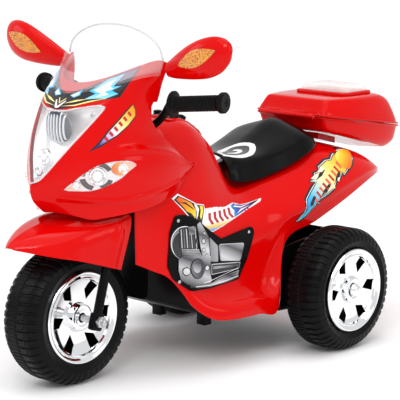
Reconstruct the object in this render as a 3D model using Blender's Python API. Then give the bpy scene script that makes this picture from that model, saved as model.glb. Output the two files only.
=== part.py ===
"""Child's battery ride-on motorcycle with three wheels.

Frame: +X is the rider's left, -Y the front, +Z up. The origin lies on the ground, under the middle
of the whole toy. Every point below is given in metres from the front axle (y = 0 there), and the
empty "vehicle" carries that frame to its place. A pair of pieces is made by one function that takes
side = +1 (left) or -1 (right).
"""
import math

import bmesh
import bpy
import numpy as np
from mathutils import Matrix, Vector
from mathutils.bvhtree import BVHTree

# ---- driving dimensions ----
FRONT_AXLE_Y = -0.2845        # front axle in the finished frame
GAP = 0.0004                  # clearance between pieces that touch
WALL = 0.0025                 # wall of the red plastic shells
SEAM_X = 0.0012               # each body half stops this far from the middle

FRONT_R = 0.095               # front wheel
REAR_R = 0.0905               # rear wheels
WHEELBASE = 0.396
TYRE_HALF = 0.0346            # half the width of a wheel
REAR_WHEEL_X = 0.159          # middle of a rear wheel
AXLE_R = 0.005

RAKE = math.radians(16)       # steering axis leans back by this
STEER_DIR = Vector((0, math.sin(RAKE), math.cos(RAKE)))
FRONT_AXLE = Vector((0, 0, FRONT_R))
REAR_AXLE = Vector((0, WHEELBASE, REAR_R))

LEG_X = 0.0575                # fork legs
LEG_R = 0.0065
STEM_R = 0.009
CROWN_S = 0.118               # crown's place along the steering axis, from the axle
STEM_TOP_S = 0.238
BAR_R = 0.0055
GRIP_INNER = Vector((0.099, 0.107, 0.384))
GRIP_OUTER = Vector((0.179, 0.1267, 0.391))

LID_HINGE = (0.4650, 0.3270)  # y, z of the trunk lid's hinge
RED = (0.80, 0.012, 0.012)
BLACK = (0.012, 0.012, 0.013)


# ---- scene and materials ----
for old in list(bpy.data.objects):
    bpy.data.objects.remove(old, do_unlink=True)


def material(name, colour, roughness=0.4, metallic=0.0):
    made = bpy.data.materials.get(name)
    if made:
        return made
    made = bpy.data.materials.new(name)
    made.use_nodes = True
    shader = made.node_tree.nodes["Principled BSDF"]
    shader.inputs["Base Color"].default_value = (*colour, 1)
    shader.inputs["Roughness"].default_value = roughness
    shader.inputs["Metallic"].default_value = metallic
    return made


def red_gloss():
    return material("red_gloss", RED, 0.18)


def black_plastic():
    return material("black_plastic", BLACK, 0.45)


def rubber():
    return material("rubber", (0.02, 0.02, 0.02), 0.75)


def chrome():
    return material("chrome", (0.85, 0.86, 0.88), 0.08, 1.0)


def steel():
    return material("steel", (0.55, 0.55, 0.56), 0.3, 1.0)


def clear():
    return material("clear", (0.93, 0.95, 0.96), 0.05)


def empty(name, place, turn=None, parent=None):
    made = bpy.data.objects.new(name, None)
    bpy.context.scene.collection.objects.link(made)
    made.parent = parent
    made.location = place
    if turn:
        made.rotation_euler = turn
    bpy.context.view_layer.update()
    return made


VEHICLE = empty("vehicle", (0, FRONT_AXLE_Y, 0))
STEERING = empty("steering_pivot", FRONT_AXLE, (-RAKE, 0, 0), VEHICLE)
FRONT_SPIN = empty("front_wheel_pivot", FRONT_AXLE, None, VEHICLE)
REAR_SPIN = {side: empty("rear_pivot_" + word, REAR_AXLE, None, VEHICLE)
             for side, word in ((1, "left"), (-1, "right"))}
LID_PIVOT = empty("trunk_lid_pivot", (0, *LID_HINGE), None, VEHICLE)


def add(name, verts, faces, look, pivot=VEHICLE, smooth=35):
    """An object whose vertices are given in the vehicle's frame, riding on a pivot."""
    mesh = bpy.data.meshes.new(name)
    mesh.from_pydata([tuple(map(float, v)) for v in verts], [], faces)
    made = bpy.data.objects.new(name, mesh)
    bpy.context.scene.collection.objects.link(made)
    made.parent = pivot
    made.matrix_parent_inverse = pivot.matrix_world.inverted() @ VEHICLE.matrix_world
    if look:
        mesh.materials.append(look)
    work = bmesh.new()
    work.from_mesh(mesh)
    bmesh.ops.recalc_face_normals(work, faces=work.faces)
    work.to_mesh(mesh)
    work.free()
    if smooth:
        mesh.shade_smooth()
        mesh.set_sharp_from_angle(angle=math.radians(smooth))
    return made


def cutter(name, verts, faces):
    made = add(name, verts, faces, None, smooth=0)
    made.hide_render = True
    made.display_type = "WIRE"
    return made


def boolean(target, other, operation="DIFFERENCE"):
    step = target.modifiers.new(operation.lower(), "BOOLEAN")
    step.operation = operation
    step.solver = "EXACT"
    step.object = other
    return target


def thicken(target, wall, inward=True):
    step = target.modifiers.new("wall", "SOLIDIFY")
    step.thickness = wall
    step.offset = -1 if inward else 1
    step.use_even_offset = True
    return target


# ---- shapes ----
def curve_through(points, steps):
    """Catmull-Rom curve through points (any array shape after the first axis)."""
    pts = np.asarray(points, float)
    pts = np.concatenate([2 * pts[:1] - pts[1:2], pts, 2 * pts[-1:] - pts[-2:-1]])
    out = []
    for i in range(1, len(pts) - 2):
        a, b, c, d = pts[i - 1:i + 3]
        for k in range(steps):
            t = k / steps
            out.append(0.5 * (2 * b + (c - a) * t + (2 * a - 5 * b + 4 * c - d) * t * t
                              + (3 * b - a - 3 * c + d) * t ** 3))
    out.append(pts[-2])
    return np.array(out)


def net(rows, along=2, across=2):
    """Grid of points over a control net: rows[i][j], finer by `across` between rows."""
    grid = curve_through(np.asarray(rows, float), across)
    return np.swapaxes(curve_through(np.swapaxes(grid, 0, 1), along), 0, 1)


def mirrored(grid):
    """A half grid whose first column lies in the middle, made whole."""
    other = grid[:, :0:-1].copy()
    other[..., 0] *= -1
    return np.concatenate([other, grid], axis=1)


def flip(grid, side):
    out = grid.copy()
    out[..., 0] *= side
    return out


def sheet(grid):
    """Vertices and quads of an open grid; its faces point away from the middle of the toy."""
    n, m = grid.shape[:2]
    verts = grid.reshape(-1, 3)
    faces = [(i * m + j, i * m + j + 1, (i + 1) * m + j + 1, (i + 1) * m + j)
             for i in range(n - 1) for j in range(m - 1)]
    return verts, faces


def shell(name, grid, look, wall=WALL, outward_from=(0, 0.25, 0.15), pivot=VEHICLE, inward=True):
    """A grid turned into a closed wall. Faces are first made to look away from a point."""
    verts, faces = sheet(grid)
    made = add(name, verts, faces, look, pivot)
    face_away(made, outward_from)
    return thicken(made, wall, inward)


def face_away(made, centre):
    mesh = made.data
    push = sum((f.center - Vector(centre)).dot(f.normal) * f.area for f in mesh.polygons)
    if push < 0:
        mesh.flip_normals()


def loops_solid(loops, closed_ends=True):
    """Closed solid through equal loops of points."""
    m = len(loops[0])
    verts = [p for loop in loops for p in loop]
    faces = []
    for i in range(len(loops) - 1):
        for j in range(m):
            k = (j + 1) % m
            faces.append((i * m + j, i * m + k, (i + 1) * m + k, (i + 1) * m + j))
    if closed_ends:
        faces.append(tuple(range(m - 1, -1, -1)))
        faces.append(tuple((len(loops) - 1) * m + j for j in range(m)))
    return verts, faces


def turned(profile, centre, axis=(1, 0, 0), segments=40):
    """Solid of revolution of a closed (along, radius) outline; no point lies on the axis."""
    axis = Vector(axis).normalized()
    side = axis.orthogonal().normalized()
    if abs(axis.x) > 0.9:
        side = Vector((0, 0, -1))
    up = axis.cross(side)
    verts, faces = [], []
    m = len(profile)
    for k in range(segments):
        a = 2 * math.pi * k / segments
        out = side * math.cos(a) + up * math.sin(a)
        verts += [Vector(centre) + axis * x + out * r for x, r in profile]
    for k in range(segments):
        nxt = (k + 1) % segments
        for j in range(m):
            i = (j + 1) % m
            faces.append((k * m + j, k * m + i, nxt * m + i, nxt * m + j))
    return verts, faces


def rod(start, end, radius, segments=16, end_radius=None):
    start, end = Vector(start), Vector(end)
    axis = (end - start).normalized()
    side = axis.orthogonal().normalized()
    up = axis.cross(side)
    loops = []
    for place, r in ((start, radius), (end, end_radius or radius)):
        loops.append([place + (side * math.cos(2 * math.pi * k / segments)
                               + up * math.sin(2 * math.pi * k / segments)) * r
                      for k in range(segments)])
    return loops_solid(loops)


def tube(points, radius, segments):
    """Round rod along a path that stays level or rises gently."""
    loops = []
    for i, place in enumerate(points):
        along = (points[min(i + 1, len(points) - 1)] - points[max(i - 1, 0)]).normalized()
        side = along.cross(Vector((0, 1, 0))).normalized()
        up = along.cross(side)
        loops.append([place + (side * math.cos(2 * math.pi * k / segments)
                               + up * math.sin(2 * math.pi * k / segments)) * radius
                      for k in range(segments)])
    return loops_solid(loops)


def block(low, high, turn=None, centre=(0, 0, 0)):
    (x0, y0, z0), (x1, y1, z1) = low, high
    verts = [Vector(p) for p in ((x0, y0, z0), (x1, y0, z0), (x1, y1, z0), (x0, y1, z0),
                                 (x0, y0, z1), (x1, y0, z1), (x1, y1, z1), (x0, y1, z1))]
    if turn:
        verts = [turn @ v + Vector(centre) for v in verts]
    faces = [(3, 2, 1, 0), (4, 5, 6, 7), (0, 1, 5, 4), (1, 2, 6, 5), (2, 3, 7, 6), (3, 0, 4, 7)]
    return verts, faces


def bevelled(made, width, segments=2):
    step = made.modifiers.new("edges", "BEVEL")
    step.width = width
    step.segments = segments
    step.limit_method = "ANGLE"
    return made


def prism(outline, axis, low, high):
    """Outline of (a, b) pairs pushed from low to high along axis 0 (x), 1 (y) or 2 (z)."""
    def point(a, b, c):
        return {0: (c, a, b), 1: (a, c, b), 2: (a, b, c)}[axis]
    return loops_solid([[point(a, b, low) for a, b in outline], [point(a, b, high) for a, b in outline]])


def steer(s, x=0.0, forward=0.0):
    """Point at distance s up the steering axis, x to the side, and forward of the axis."""
    ahead = Vector((0, -math.cos(RAKE), math.sin(RAKE)))
    return FRONT_AXLE + STEER_DIR * s + Vector((x, 0, 0)) + ahead * forward


def patch(name, grid, lift, thick, outline, axis, span, look, centre=(0, 0.25, 0.15), pivot=VEHICLE):
    """The part of a sheet inside an outline, lifted off it and given a thickness."""
    verts, faces = sheet(grid)
    made = add(name, verts, faces, look, pivot)
    face_away(made, centre)
    normals = [v.normal.copy() for v in made.data.vertices]
    for v, n in zip(made.data.vertices, normals):
        v.co += n * lift
    thicken(made, thick, inward=False)
    return boolean(made, cutter(name + "_outline", *prism(outline, axis, *span)), "INTERSECT")


# ---- body shell: rows run from the middle of the top down to the bottom edge ----
BODY_ROWS = [
    [(.066, .064, .266), (.068, .088, .274), (.058, .112, .298), (.034, .126, .326), (SEAM_X, .132, .340),
     (SEAM_X, .165, .350), (SEAM_X, .205, .348), (SEAM_X, .246, .324), (SEAM_X, .278, .266),
     (SEAM_X, .330, .256), (SEAM_X, .400, .280), (SEAM_X, .455, .291), (SEAM_X, .530, .278),
     (SEAM_X, .585, .257), (SEAM_X, .626, .229)],
    [(.0685, .064, .248), (.0735, .088, .256), (.074, .110, .275), (.066, .128, .302), (.050, .143, .327),
     (.046, .170, .336), (.046, .205, .334), (.047, .243, .303), (.045, .277, .246), (.048, .330, .248),
     (.055, .400, .266), (.060, .458, .282), (.062, .530, .2725), (.050, .585, .2535), (.028, .622, .2290)],
    [(.070, .0635, .228), (.0765, .0875, .228), (.081, .109, .236), (.083, .127, .247),
     (.083, .142, .257), (.080, .168, .262), (.076, .205, .257), (.0685, .246, .244), (.0650, .284, .2340),
     (.0705, .335, .2425), (.0795, .400, .256), (.083, .462, .2705), (.088, .540, .2605),
     (.072, .588, .2450), (.047, .617, .2282)],
    [(.071, .063, .197), (.079, .087, .192), (.086, .108, .190), (.0915, .126, .190), (.096, .140, .188),
     (.099, .165, .186), (.100, .203, .186), (.100, .250, .188), (.103, .293, .196), (.109, .335, .207),
     (.1125, .400, .219), (.1125, .470, .236), (.104, .540, .2440), (.084, .588, .2385), (.056, .617, .2275)],
    [(.0717, .063, .181), (.080, .087, .175), (.087, .108, .168), (.0925, .1255, .158),
     (.098, .139, .143), (.1025, .164, .121), (.1045, .201, .113), (.105, .250, .112), (.1065, .2935, .116),
     (.112, .331, .182), (.113, .400, .200), (.113, .470, .2200), (.1045, .540, .2360),
     (.0845, .588, .2345), (.0565, .617, .2268)],
    [(.0719, .063, .171), (.081, .087, .160), (.0885, .108, .151), (.0965, .1255, .134),
     (.107, .139, .113), (.1195, .164, .097), (.129, .199, .091), (.1305, .250, .0895), (.1285, .294, .090),
     (.1132, .330, .169), (.1135, .400, .189), (.113, .470, .2120), (.1045, .540, .2315),
     (.0845, .588, .2325), (.0565, .617, .2262)],
    [(.072, .063, .165), (.081, .087, .153), (.089, .108, .142), (.0975, .125, .121), (.110, .138, .0975),
     (.124, .163, .0785), (.133, .197, .0735), (.134, .250, .072), (.132, .2945, .072),
     (.1135, .329, .1610), (.1135, .400, .183), (.113, .470, .2065), (.1045, .540, .2275),
     (.0845, .588, .2310), (.0565, .617, .2256)],
]
BODY = net(BODY_ROWS, 2, 1)
ENGINE_OUTLINE = [(.124, .2265), (.113, .203), (.1075, .157), (.114, .139), (.137, .120), (.172, .1175),
                  (.236, .121), (.2535, .145), (.2725, .186), (.268, .1925), (.2036, .184), (.184, .1975),
                  (.158, .2185), (.136, .2272)]


def body_half(side, word):
    made = shell("body_half_" + word, flip(BODY, side), red_gloss(), outward_from=(0, 0.25, 0.12))
    edges = sorted((side * 0.0005, side * -0.02))
    boolean(made, cutter("seam_" + word, *block((edges[0], .05, .15), (edges[1], .70, .40))))


def engine_panel(side, word):
    span = (0.06 * side, 0.14 * side)
    patch("engine_panel_" + word, flip(BODY, side), 0.0023, 0.002, ENGINE_OUTLINE, 0,
          (min(span), max(span)), material("engine_print", (0.18, 0.18, 0.19), 0.3))


# ---- front fairing: rows from the bottom lip up to the windscreen ----
FAIRING_ROWS = [
    [(0, -.040, .243), (.020, -.031, .2436), (.040, -.017, .239), (.054, -.002, .2345), (.068, .017, .237),
     (.080, .040, .2405), (.0875, .068, .2445), (.0885, .098, .250), (.085, .128, .259), (.078, .158, .276)],
    [(0, -.060, .262), (.020, -.0425, .2615), (.040, -.0215, .259), (.056, -.003, .2565), (.071, .017, .256),
     (.083, .042, .2575), (.090, .070, .260), (.091, .100, .2645), (.0875, .130, .271), (.0775, .168, .2845)],
    [(0, -.0635, .284), (.020, -.0495, .284), (.040, -.033, .283), (.058, -.013, .282), (.074, .010, .281),
     (.086, .038, .281), (.0925, .068, .2825), (.093, .100, .285), (.0885, .132, .288),
     (.0755, .1765, .2915)],
    [(0, -.051, .312), (.020, -.0455, .312), (.040, -.0325, .311), (.058, -.013, .310), (.073, .010, .309),
     (.0845, .037, .309), (.0905, .066, .3095), (.0915, .096, .309), (.087, .126, .3055),
     (.077, .160, .2965)],
    [(0, -.040, .332), (.020, -.037, .332), (.040, -.0275, .332), (.0575, -.010, .332), (.0695, .011, .332),
     (.0785, .036, .332), (.0835, .062, .332), (.0845, .083, .332), (.083, .103, .331),
     (.0795, .122, .3275)],
    [(0, -.0275, .355), (.020, -.0255, .355), (.040, -.018, .355), (.0575, -.002, .356), (.068, .016, .357),
     (.0755, .036, .358), (.080, .056, .358), (.0825, .070, .358), (.083, .079, .358), (.0835, .087, .358)],
    [(0, -.0155, .380), (.020, -.0135, .381), (.040, -.004, .384), (.060, .0155, .388),
     (.0695, .033, .3905), (.076, .050, .393), (.0805, .066, .3955), (.083, .078, .3975), (.0845, .087, .399),
     (.086, .0965, .4005)],
    [(0, .004, .398), (.020, .007, .400), (.040, .017, .405), (.0585, .034, .411), (.069, .049, .415),
     (.0765, .063, .4185), (.0815, .076, .4205), (.085, .086, .4215), (.0875, .094, .422),
     (.0895, .102, .422)],
    [(0, .0195, .4135), (.020, .023, .4155), (.038, .0325, .420), (.055, .0485, .4275), (.066, .064, .434),
     (.0745, .078, .439), (.0805, .089, .4425), (.0855, .096, .4435), (.090, .101, .442),
     (.095, .106, .438)],
]
FAIRING_HALF = net(FAIRING_ROWS, 1, 2)
FAIRING = mirrored(FAIRING_HALF)
HEADLIGHT_CORNER = (.0625, .3885)
HEADLIGHT_OUTLINE = [(0, .2835), (.010, .2885), (.026, .311), (.042, .338), (.054, .362), (.0615, .380),
                     (.0625, .3865), (.057, .3885), (.040, .386), (.020, .3815), (0, .380)]
BAR_SLOT = [(.0825, .364), (.0825, .382), (.086, .3875), (.110, .3875), (.110, .358), (.086, .358)]
LAMP_OUTLINE = [(-.0360, .2775), (-.0275, .2894), (-.0170, .3000), (-.0040, .3090), (.0096, .3131),
                (.0240, .3142), (.0396, .3130), (.0472, .3090), (.0476, .3054), (.0374, .2994), (.0264, .2907),
                (.0146, .2843), (.0022, .2789), (-.0098, .2751), (-.0232, .2754)]


def whole_outline(half):
    """An outline given for x >= 0 from bottom to top, made whole."""
    return half + [(-x, z) for x, z in reversed(half) if x > 0]


def shrunk(outline, amount):
    """The outline moved in towards its centre by about `amount`."""
    pts = np.array(outline)
    centre = pts.mean(axis=0)
    away = pts - centre
    size = np.linalg.norm(away, axis=1, keepdims=True)
    return [tuple(p) for p in centre + away * (size - amount) / size]


def front_fairing():
    made = shell("front_fairing", FAIRING, red_gloss(), outward_from=(0, 0.09, 0.33))
    hole = cutter("headlight_opening", *prism(whole_outline(HEADLIGHT_OUTLINE), 1, -0.10, 0.045))
    boolean(made, hole)
    for side, word in ((1, "left"), (-1, "right")):
        ends = sorted((side * .055, side * .115))
        boolean(made, cutter("bar_slot_" + word, *prism(BAR_SLOT, 0, *ends)))


def headlight():
    lens_edge = shrunk(whole_outline(HEADLIGHT_OUTLINE), 0.0006)
    patch("headlight_lens", FAIRING, -0.0018, 0.0018, lens_edge, 1, (-0.10, 0.04), clear(),
          centre=(0, 0.09, 0.33))
    bowl_rows = []
    for depth, scale in ((0.0, 0.985), (0.010, 0.86), (0.022, 0.60)):
        half = [(x * scale, .345 + (z - .345) * scale) for x, z in HEADLIGHT_OUTLINE]
        loop = whole_outline(half)
        bowl_rows.append([(x, fairing_front(x, z) + 0.0068 + depth, z) for x, z in loop])
    bowl, bowl_faces = loops_solid(bowl_rows)
    bowl_faces = bowl_faces[:-2] + [bowl_faces[-1]]
    made = add("headlight_reflector", bowl, bowl_faces, chrome())
    face_away(made, (0, -0.08, 0.34))
    thicken(made, 0.0016, inward=True)
    place = Vector((0, -0.0125, 0.350))
    add("headlight_bulb", *turned([(-.006, .0012), (-.006, .0060), (-.002, .0078), (.003, .0078),
                                   (.006, .0045), (.006, .0012)], place, (0, -1, -0.25), 16), clear())


def fairing_front(x, z):
    """Where the fairing's outside lies at (x, z), looking along Y."""
    verts, faces = sheet(FAIRING)
    tree = BVHTree.FromPolygons([tuple(v) for v in verts], faces)
    return tree.ray_cast(Vector((x, -0.2, z)), Vector((0, 1, 0)))[0].y


def side_lamp(side, word):
    patch("side_lamp_" + word, flip(FAIRING_HALF, side), 0.0005, 0.0018, LAMP_OUTLINE, 0,
          tuple(sorted((0.02 * side, 0.12 * side))), clear(), centre=(0, 0.09, 0.31))


def windscreen():
    """A clear dome over the fairing's upper edge: it overlaps that edge, then bulges to the arch."""
    low, edge = np.array(FAIRING_ROWS[7][:9]), np.array(FAIRING_ROWS[8][:9])
    out = Vector((0, -0.62, 0.78))
    rows = []
    for base, push in ((low, 0.0018), (edge, 0.0018)):
        flare = np.array([(min(1, p[0] / 0.07), 0, 0) for p in base])
        rows.append(base + np.array(out) * push + flare * 0.0014)
    span = rows[1][-1]
    for s in (0.33, 0.67, 1.0):
        row = []
        for p in rows[1]:
            turn = math.asin(min(1.0, p[0] / span[0])) if p[0] > 0 else 0.0
            arch = np.array((span[0] * math.sin(turn), 0.094 + 0.003 * math.sin(turn),
                             span[2] + (0.4885 - span[2]) * math.cos(turn)))
            bulge = np.array(out) * 0.052 * s * (1 - s) * math.cos(turn)
            row.append(p * (1 - s) + arch * s + bulge)
        rows.append(row)
    shell("windscreen", mirrored(net(rows, 1, 2)), clear(), 0.0014, (0, 0.12, 0.40), inward=False)


# ---- mirrors ----
MIRROR_RINGS = [  # centre x, y, z, half height, half depth
    (.0985, .0985, .4310, .0095, .0045), (.112, .0965, .4340, .0135, .0080), (.130, .0935, .4395, .0185, .0110),
    (.152, .0905, .4460, .0235, .0130), (.175, .0900, .4525, .0265, .0135), (.195, .0912, .4590, .0245, .0120),
    (.209, .0928, .4650, .0170, .0085), (.2155, .0940, .4690, .0075, .0040)]


def mirror(side, word):
    loops = []
    lean = math.radians(17)
    for x, y, z, tall, deep in MIRROR_RINGS:
        loop = []
        for k in range(16):
            a = 2 * math.pi * k / 16
            front = math.cos(a)
            depth = -deep * front if front > 0 else min(0.0085, deep) * -front
            up = math.sin(a) * tall
            loop.append((side * (x - math.sin(lean) * up), y + depth, z + math.cos(lean) * up))
        loops.append(loop)
    add("mirror_shell_" + word, *loops_solid(loops), red_gloss(), smooth=50)
    ring = []
    for k in range(20):
        a = 2 * math.pi * k / 20
        along, up = 0.033 * math.cos(a), 0.0195 * math.sin(a)
        ring.append((side * (.170 + math.cos(lean) * along - math.sin(lean) * up),
                     .4515 + math.sin(lean) * along + math.cos(lean) * up))
    add("mirror_glass_" + word, *prism(ring, 1, 0.1010, 0.1026), material("mirror", (0.9, 0.9, 0.9), 0.02, 1))


# ---- fender, fork and steering ----
FENDER_ROWS = [
    [(0, -.107, .205), (0, -.090, .2165), (0, -.065, .2255), (0, -.038, .2305), (0, -.008, .2325),
     (0, .025, .2335), (0, .058, .235)],
    [(.004, -.1055, .2045), (.015, -.087, .2125), (.026, -.063, .2205), (.034, -.037, .2265),
     (.040, -.008, .230), (.044, .026, .232), (.046, .0590, .2345)],
    [(.007, -.104, .203), (.026, -.084, .2055), (.042, -.061, .209), (.0545, -.036, .212),
     (.063, -.007, .2155), (.0672, .028, .220), (.0675, .0590, .2265)],
    [(.009, -.1025, .2015), (.031, -.0825, .196), (.0485, -.060, .190), (.0605, -.033, .1835),
     (.0665, -.004, .1745), (.0675, .0205, .1665), (.0675, .0385, .161)],
]


def front_fender():
    half = net(FENDER_ROWS, 1, 2)
    whole = np.concatenate([flip(half[:0:-1], -1), half], axis=0)
    made = shell("front_fender", whole, red_gloss(), 0.002, (0, 0, 0.15), STEERING)
    boolean(made, cutter("fender_stem_hole", *rod(steer(0.10), steer(0.20), STEM_R + 0.0012, 20)))


def hole_along_x(x, centre, radius):
    return rod((x - 0.02, centre[1], centre[2]), (x + 0.02, centre[1], centre[2]), radius, 16)


def fork():
    for side, word in ((1, "left"), (-1, "right")):
        x = side * LEG_X
        leg = add("fork_leg_" + word, *rod(steer(-0.006, x), steer(CROWN_S - 0.006 - GAP, x), LEG_R, 16),
                  black_plastic(), STEERING)
        turn = Matrix.Rotation(-RAKE, 3, "X")
        foot = block((-0.0062, -0.009, -0.013), (0.0062, 0.009, 0.011), turn, steer(0, x))
        boolean(leg, cutter("fork_foot_" + word, *foot), "UNION")
        boolean(leg, cutter("fork_axle_hole_" + word, *hole_along_x(x, FRONT_AXLE, 0.0054)))
        inner = x + side * 0.0067
        nut = add("front_axle_nut_" + word, *rod((inner, 0, FRONT_R), (inner + side * .0065, 0, FRONT_R), .0085, 6),
                  steel(), STEERING, 20)
        boolean(nut, cutter("nut_bore_" + word, *hole_along_x(inner, FRONT_AXLE, 0.0054)))
    turn = Matrix.Rotation(-RAKE, 3, "X")
    crown = add("fork_crown", *block((-.0630, -.013, -.006), (.0630, .013, .006), turn, steer(CROWN_S)),
                black_plastic(), STEERING)
    boolean(crown, cutter("fork_stem", *rod(steer(CROWN_S - 0.004), steer(STEM_TOP_S), STEM_R, 20)), "UNION")
    add("front_axle", *rod((-.074, 0, FRONT_R), (.074, 0, FRONT_R), AXLE_R, 16), steel(), STEERING)
    head = add("steering_head", *rod(steer(0.150), steer(0.194), 0.0155, 20), black_plastic())
    arm = block((-.020, .050, .2445), (.020, .1068, .279))
    boolean(head, cutter("steering_head_arm", *arm), "UNION")
    boolean(head, cutter("steering_head_bore", *rod(steer(0.10), steer(0.25), STEM_R + GAP, 20)))


def bar_path():
    """Left half of the handlebar, from the clamp out to the end inside the grip."""
    along = (GRIP_OUTER - GRIP_INNER).normalized()
    rise = [(0, .0694, .3365), (.013, .0694, .3365), (.036, .0835, .3400), (.052, .0985, .3460),
            (.066, .1070, .3540), (.082, .1080, .3680)]
    curved = [Vector(p) for p in curve_through(rise + [tuple(GRIP_INNER - along * 0.004)], 3)]
    return curved + [GRIP_INNER + along * 0.004, GRIP_OUTER - along * 0.010]


def handlebar():
    half = bar_path()
    points = [Vector((-p.x, p.y, p.z)) for p in reversed(half[1:])] + half
    add("handlebar", *tube(points, BAR_R, 10), black_plastic(), STEERING, 50)
    turn = Matrix.Rotation(-RAKE, 3, "X")
    clamp = add("handlebar_clamp", *block((-.0105, -.014, STEM_TOP_S + GAP), (.0105, .014, 0.268), turn, FRONT_AXLE),
                black_plastic(), STEERING)
    boolean(clamp, cutter("clamp_bore", *rod((-.03, .0694, .3365), (.03, .0694, .3365), BAR_R + 0.0012, 20)))


def grip(side, word):
    inner = Vector((side * GRIP_INNER.x, GRIP_INNER.y, GRIP_INNER.z))
    outer = Vector((side * GRIP_OUTER.x, GRIP_OUTER.y, GRIP_OUTER.z))
    length = (outer - inner).length
    bore = BAR_R + 0.0008
    outline = [(0, bore), (0, .0185), (.0035, .0185), (.0045, .0112)]
    outline += [(length - .007, .0112), (length - .006, .0145), (length, .0135), (length, .0012),
                (length - .004, .0012), (length - .004, bore)]
    add("grip_" + word, *turned(outline, inner, outer - inner, 20), rubber(), STEERING, 40)


# ---- wheels ----
def wheel_outline(radius, half, hub, both_sides):
    """Section of a hollow wheel: tread, sidewalls, hub and web; open on the side a cap covers."""
    shoulder, rim, wall = half * 0.52, radius * 0.69, 0.0028
    skin = [(half * 0.86, rim), (half, radius * 0.80), (half * 0.93, radius * 0.915), (shoulder, radius)]
    lining = [(half * 0.86 - wall, rim), (half - wall, radius * 0.80), (shoulder, radius - wall)]
    side = [(hub, .0150)]
    if both_sides:
        side += [(.0015, .0165), (.0015, radius - wall)] + lining[::-1] + skin
        return [(hub, AXLE_R + 0.0006)] + side + [(-x, r) for x, r in side[::-1]] + [(-hub, AXLE_R + 0.0006)]
    web = -half * 0.30
    side += [(web + wall, .0165), (web + wall, rim - .006 + wall), (-half * 0.86 + wall, rim + wall),
             (wall - half, radius * 0.80), (-shoulder, radius - wall)] + lining[::-1] + skin
    inner = [(-x, r) for x, r in skin[::-1]] + [(web, rim - .006), (web, .022), (-hub, .020)]
    return [(hub, AXLE_R + 0.0006)] + side + inner + [(-hub, AXLE_R + 0.0006)]


def wheel(name, centre, radius, pivot, side=1, both_sides=False):
    half = TYRE_HALF if both_sides else TYRE_HALF * 0.94
    outline = wheel_outline(radius, half, 0.0285, both_sides)
    add(name, *turned(outline, centre, (side, 0, 0), 30), rubber(), pivot, 30)


def wheel_cap(name, centre, radius, side, pivot, offset):
    """Chrome cap: flange, groove, dished face with six kite windows, and a boss round the axle."""
    rim = radius * 0.685
    face = [(offset + .0024, rim), (offset + .0040, rim - .004), (offset + .001, rim - .010),
            (offset - .0030, rim - .012), (offset - .0030, .0200), (offset + .001, .0160),
            (offset + .001, .0075)]
    wall = 0.0016
    outline = face + [(x - wall, r) for x, r in reversed(face)]
    made = add(name, *turned(outline, centre, (side, 0, 0), 24), chrome(), pivot, 30)
    for k in range(6):
        a = 2 * math.pi * k / 6
        kite = [(rim - .0160, -.0070), (rim - .0140, .0066), (rim - .0280, .0078), (rim - .0385, -.0008)]
        pts = [(centre[1] + u * math.cos(a) - v * math.sin(a), centre[2] + u * math.sin(a) + v * math.cos(a))
               for u, v in kite]
        ends = sorted((centre[0] + side * (offset - .02), centre[0] + side * (offset + .02)))
        boolean(made, cutter(name + "_window_%d" % k, *prism(pts, 0, *ends)))


def wheels():
    wheel("front_wheel", FRONT_AXLE, FRONT_R, FRONT_SPIN, both_sides=True)
    for side, word in ((1, "left"), (-1, "right")):
        wheel_cap("front_wheel_cap_" + word, FRONT_AXLE, FRONT_R, side, FRONT_SPIN, TYRE_HALF * 0.86)
        centre = REAR_AXLE + Vector((side * REAR_WHEEL_X, 0, 0))
        wheel("rear_wheel_" + word, centre, REAR_R, REAR_SPIN[side], side)
        wheel_cap("rear_wheel_cap_" + word, centre, REAR_R, side, REAR_SPIN[side], TYRE_HALF * 0.86)
        cap = [(0, .0056), (0, .0100), (.004, .0090), (.0075, .0060), (.0085, .0006), (.0045, .0006),
               (.0045, .0056)]
        add("rear_axle_cap_" + word, *turned(cap, centre + Vector((side * 0.0312, 0, 0)), (side, 0, 0), 20),
            chrome())
    add("rear_axle", *rod((-.1945, WHEELBASE, REAR_R), (.1945, WHEELBASE, REAR_R), AXLE_R, 16), steel())


# ---- chassis and drive ----
CHASSIS = [  # y, floor z, half width, rim z
    (.108, .103, .050, .284), (.125, .0965, .056, .215), (.150, .0875, .062, .160), (.187, .0735, .068, .140),
    (.250, .057, .075, .128), (.300, .055, .082, .128), (.335, .055, .107, .152), (.400, .055, .108, .160),
    (.465, .062, .106, .160)]


def chassis_tray():
    loops = [[(-w, y, rim), (-w, y, floor + .008), (-w + .008, y, floor), (w - .008, y, floor),
              (w, y, floor + .008), (w, y, rim)] for y, floor, w, rim in CHASSIS]
    verts = [p for loop in loops for p in loop]
    last = len(loops) - 1
    faces = [(i * 6 + j, i * 6 + j + 1, i * 6 + j + 7, i * 6 + j + 6) for i in range(last) for j in range(5)]
    faces += [tuple(range(6)), tuple(last * 6 + j for j in range(6))]
    made = add("chassis_tray", verts, faces, black_plastic(), smooth=25)
    face_away(made, (0, 0.28, 0.14))
    thicken(made, 0.003)
    boolean(made, cutter("tray_axle_hole", *rod((.09, WHEELBASE, REAR_R), (.13, WHEELBASE, REAR_R), .0062, 20)))
    boolean(made, cutter("tray_gear_hole", *rod((-.13, WHEELBASE, REAR_R), (-.09, WHEELBASE, REAR_R), .0145, 24)))
    for side, word in ((1, "left"), (-1, "right")):
        foot = block((side * .045 - .009, .222, .0455), (side * .045 + .009, .236, .066))
        boolean(made, cutter("tray_foot_" + word, *foot), "UNION")


REDUCTION_AXIS = REAR_AXLE + Vector((0, -.0335, .0210))
MOTOR_AXIS = REDUCTION_AXIS + Vector((0, -.0050, .0292))


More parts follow.
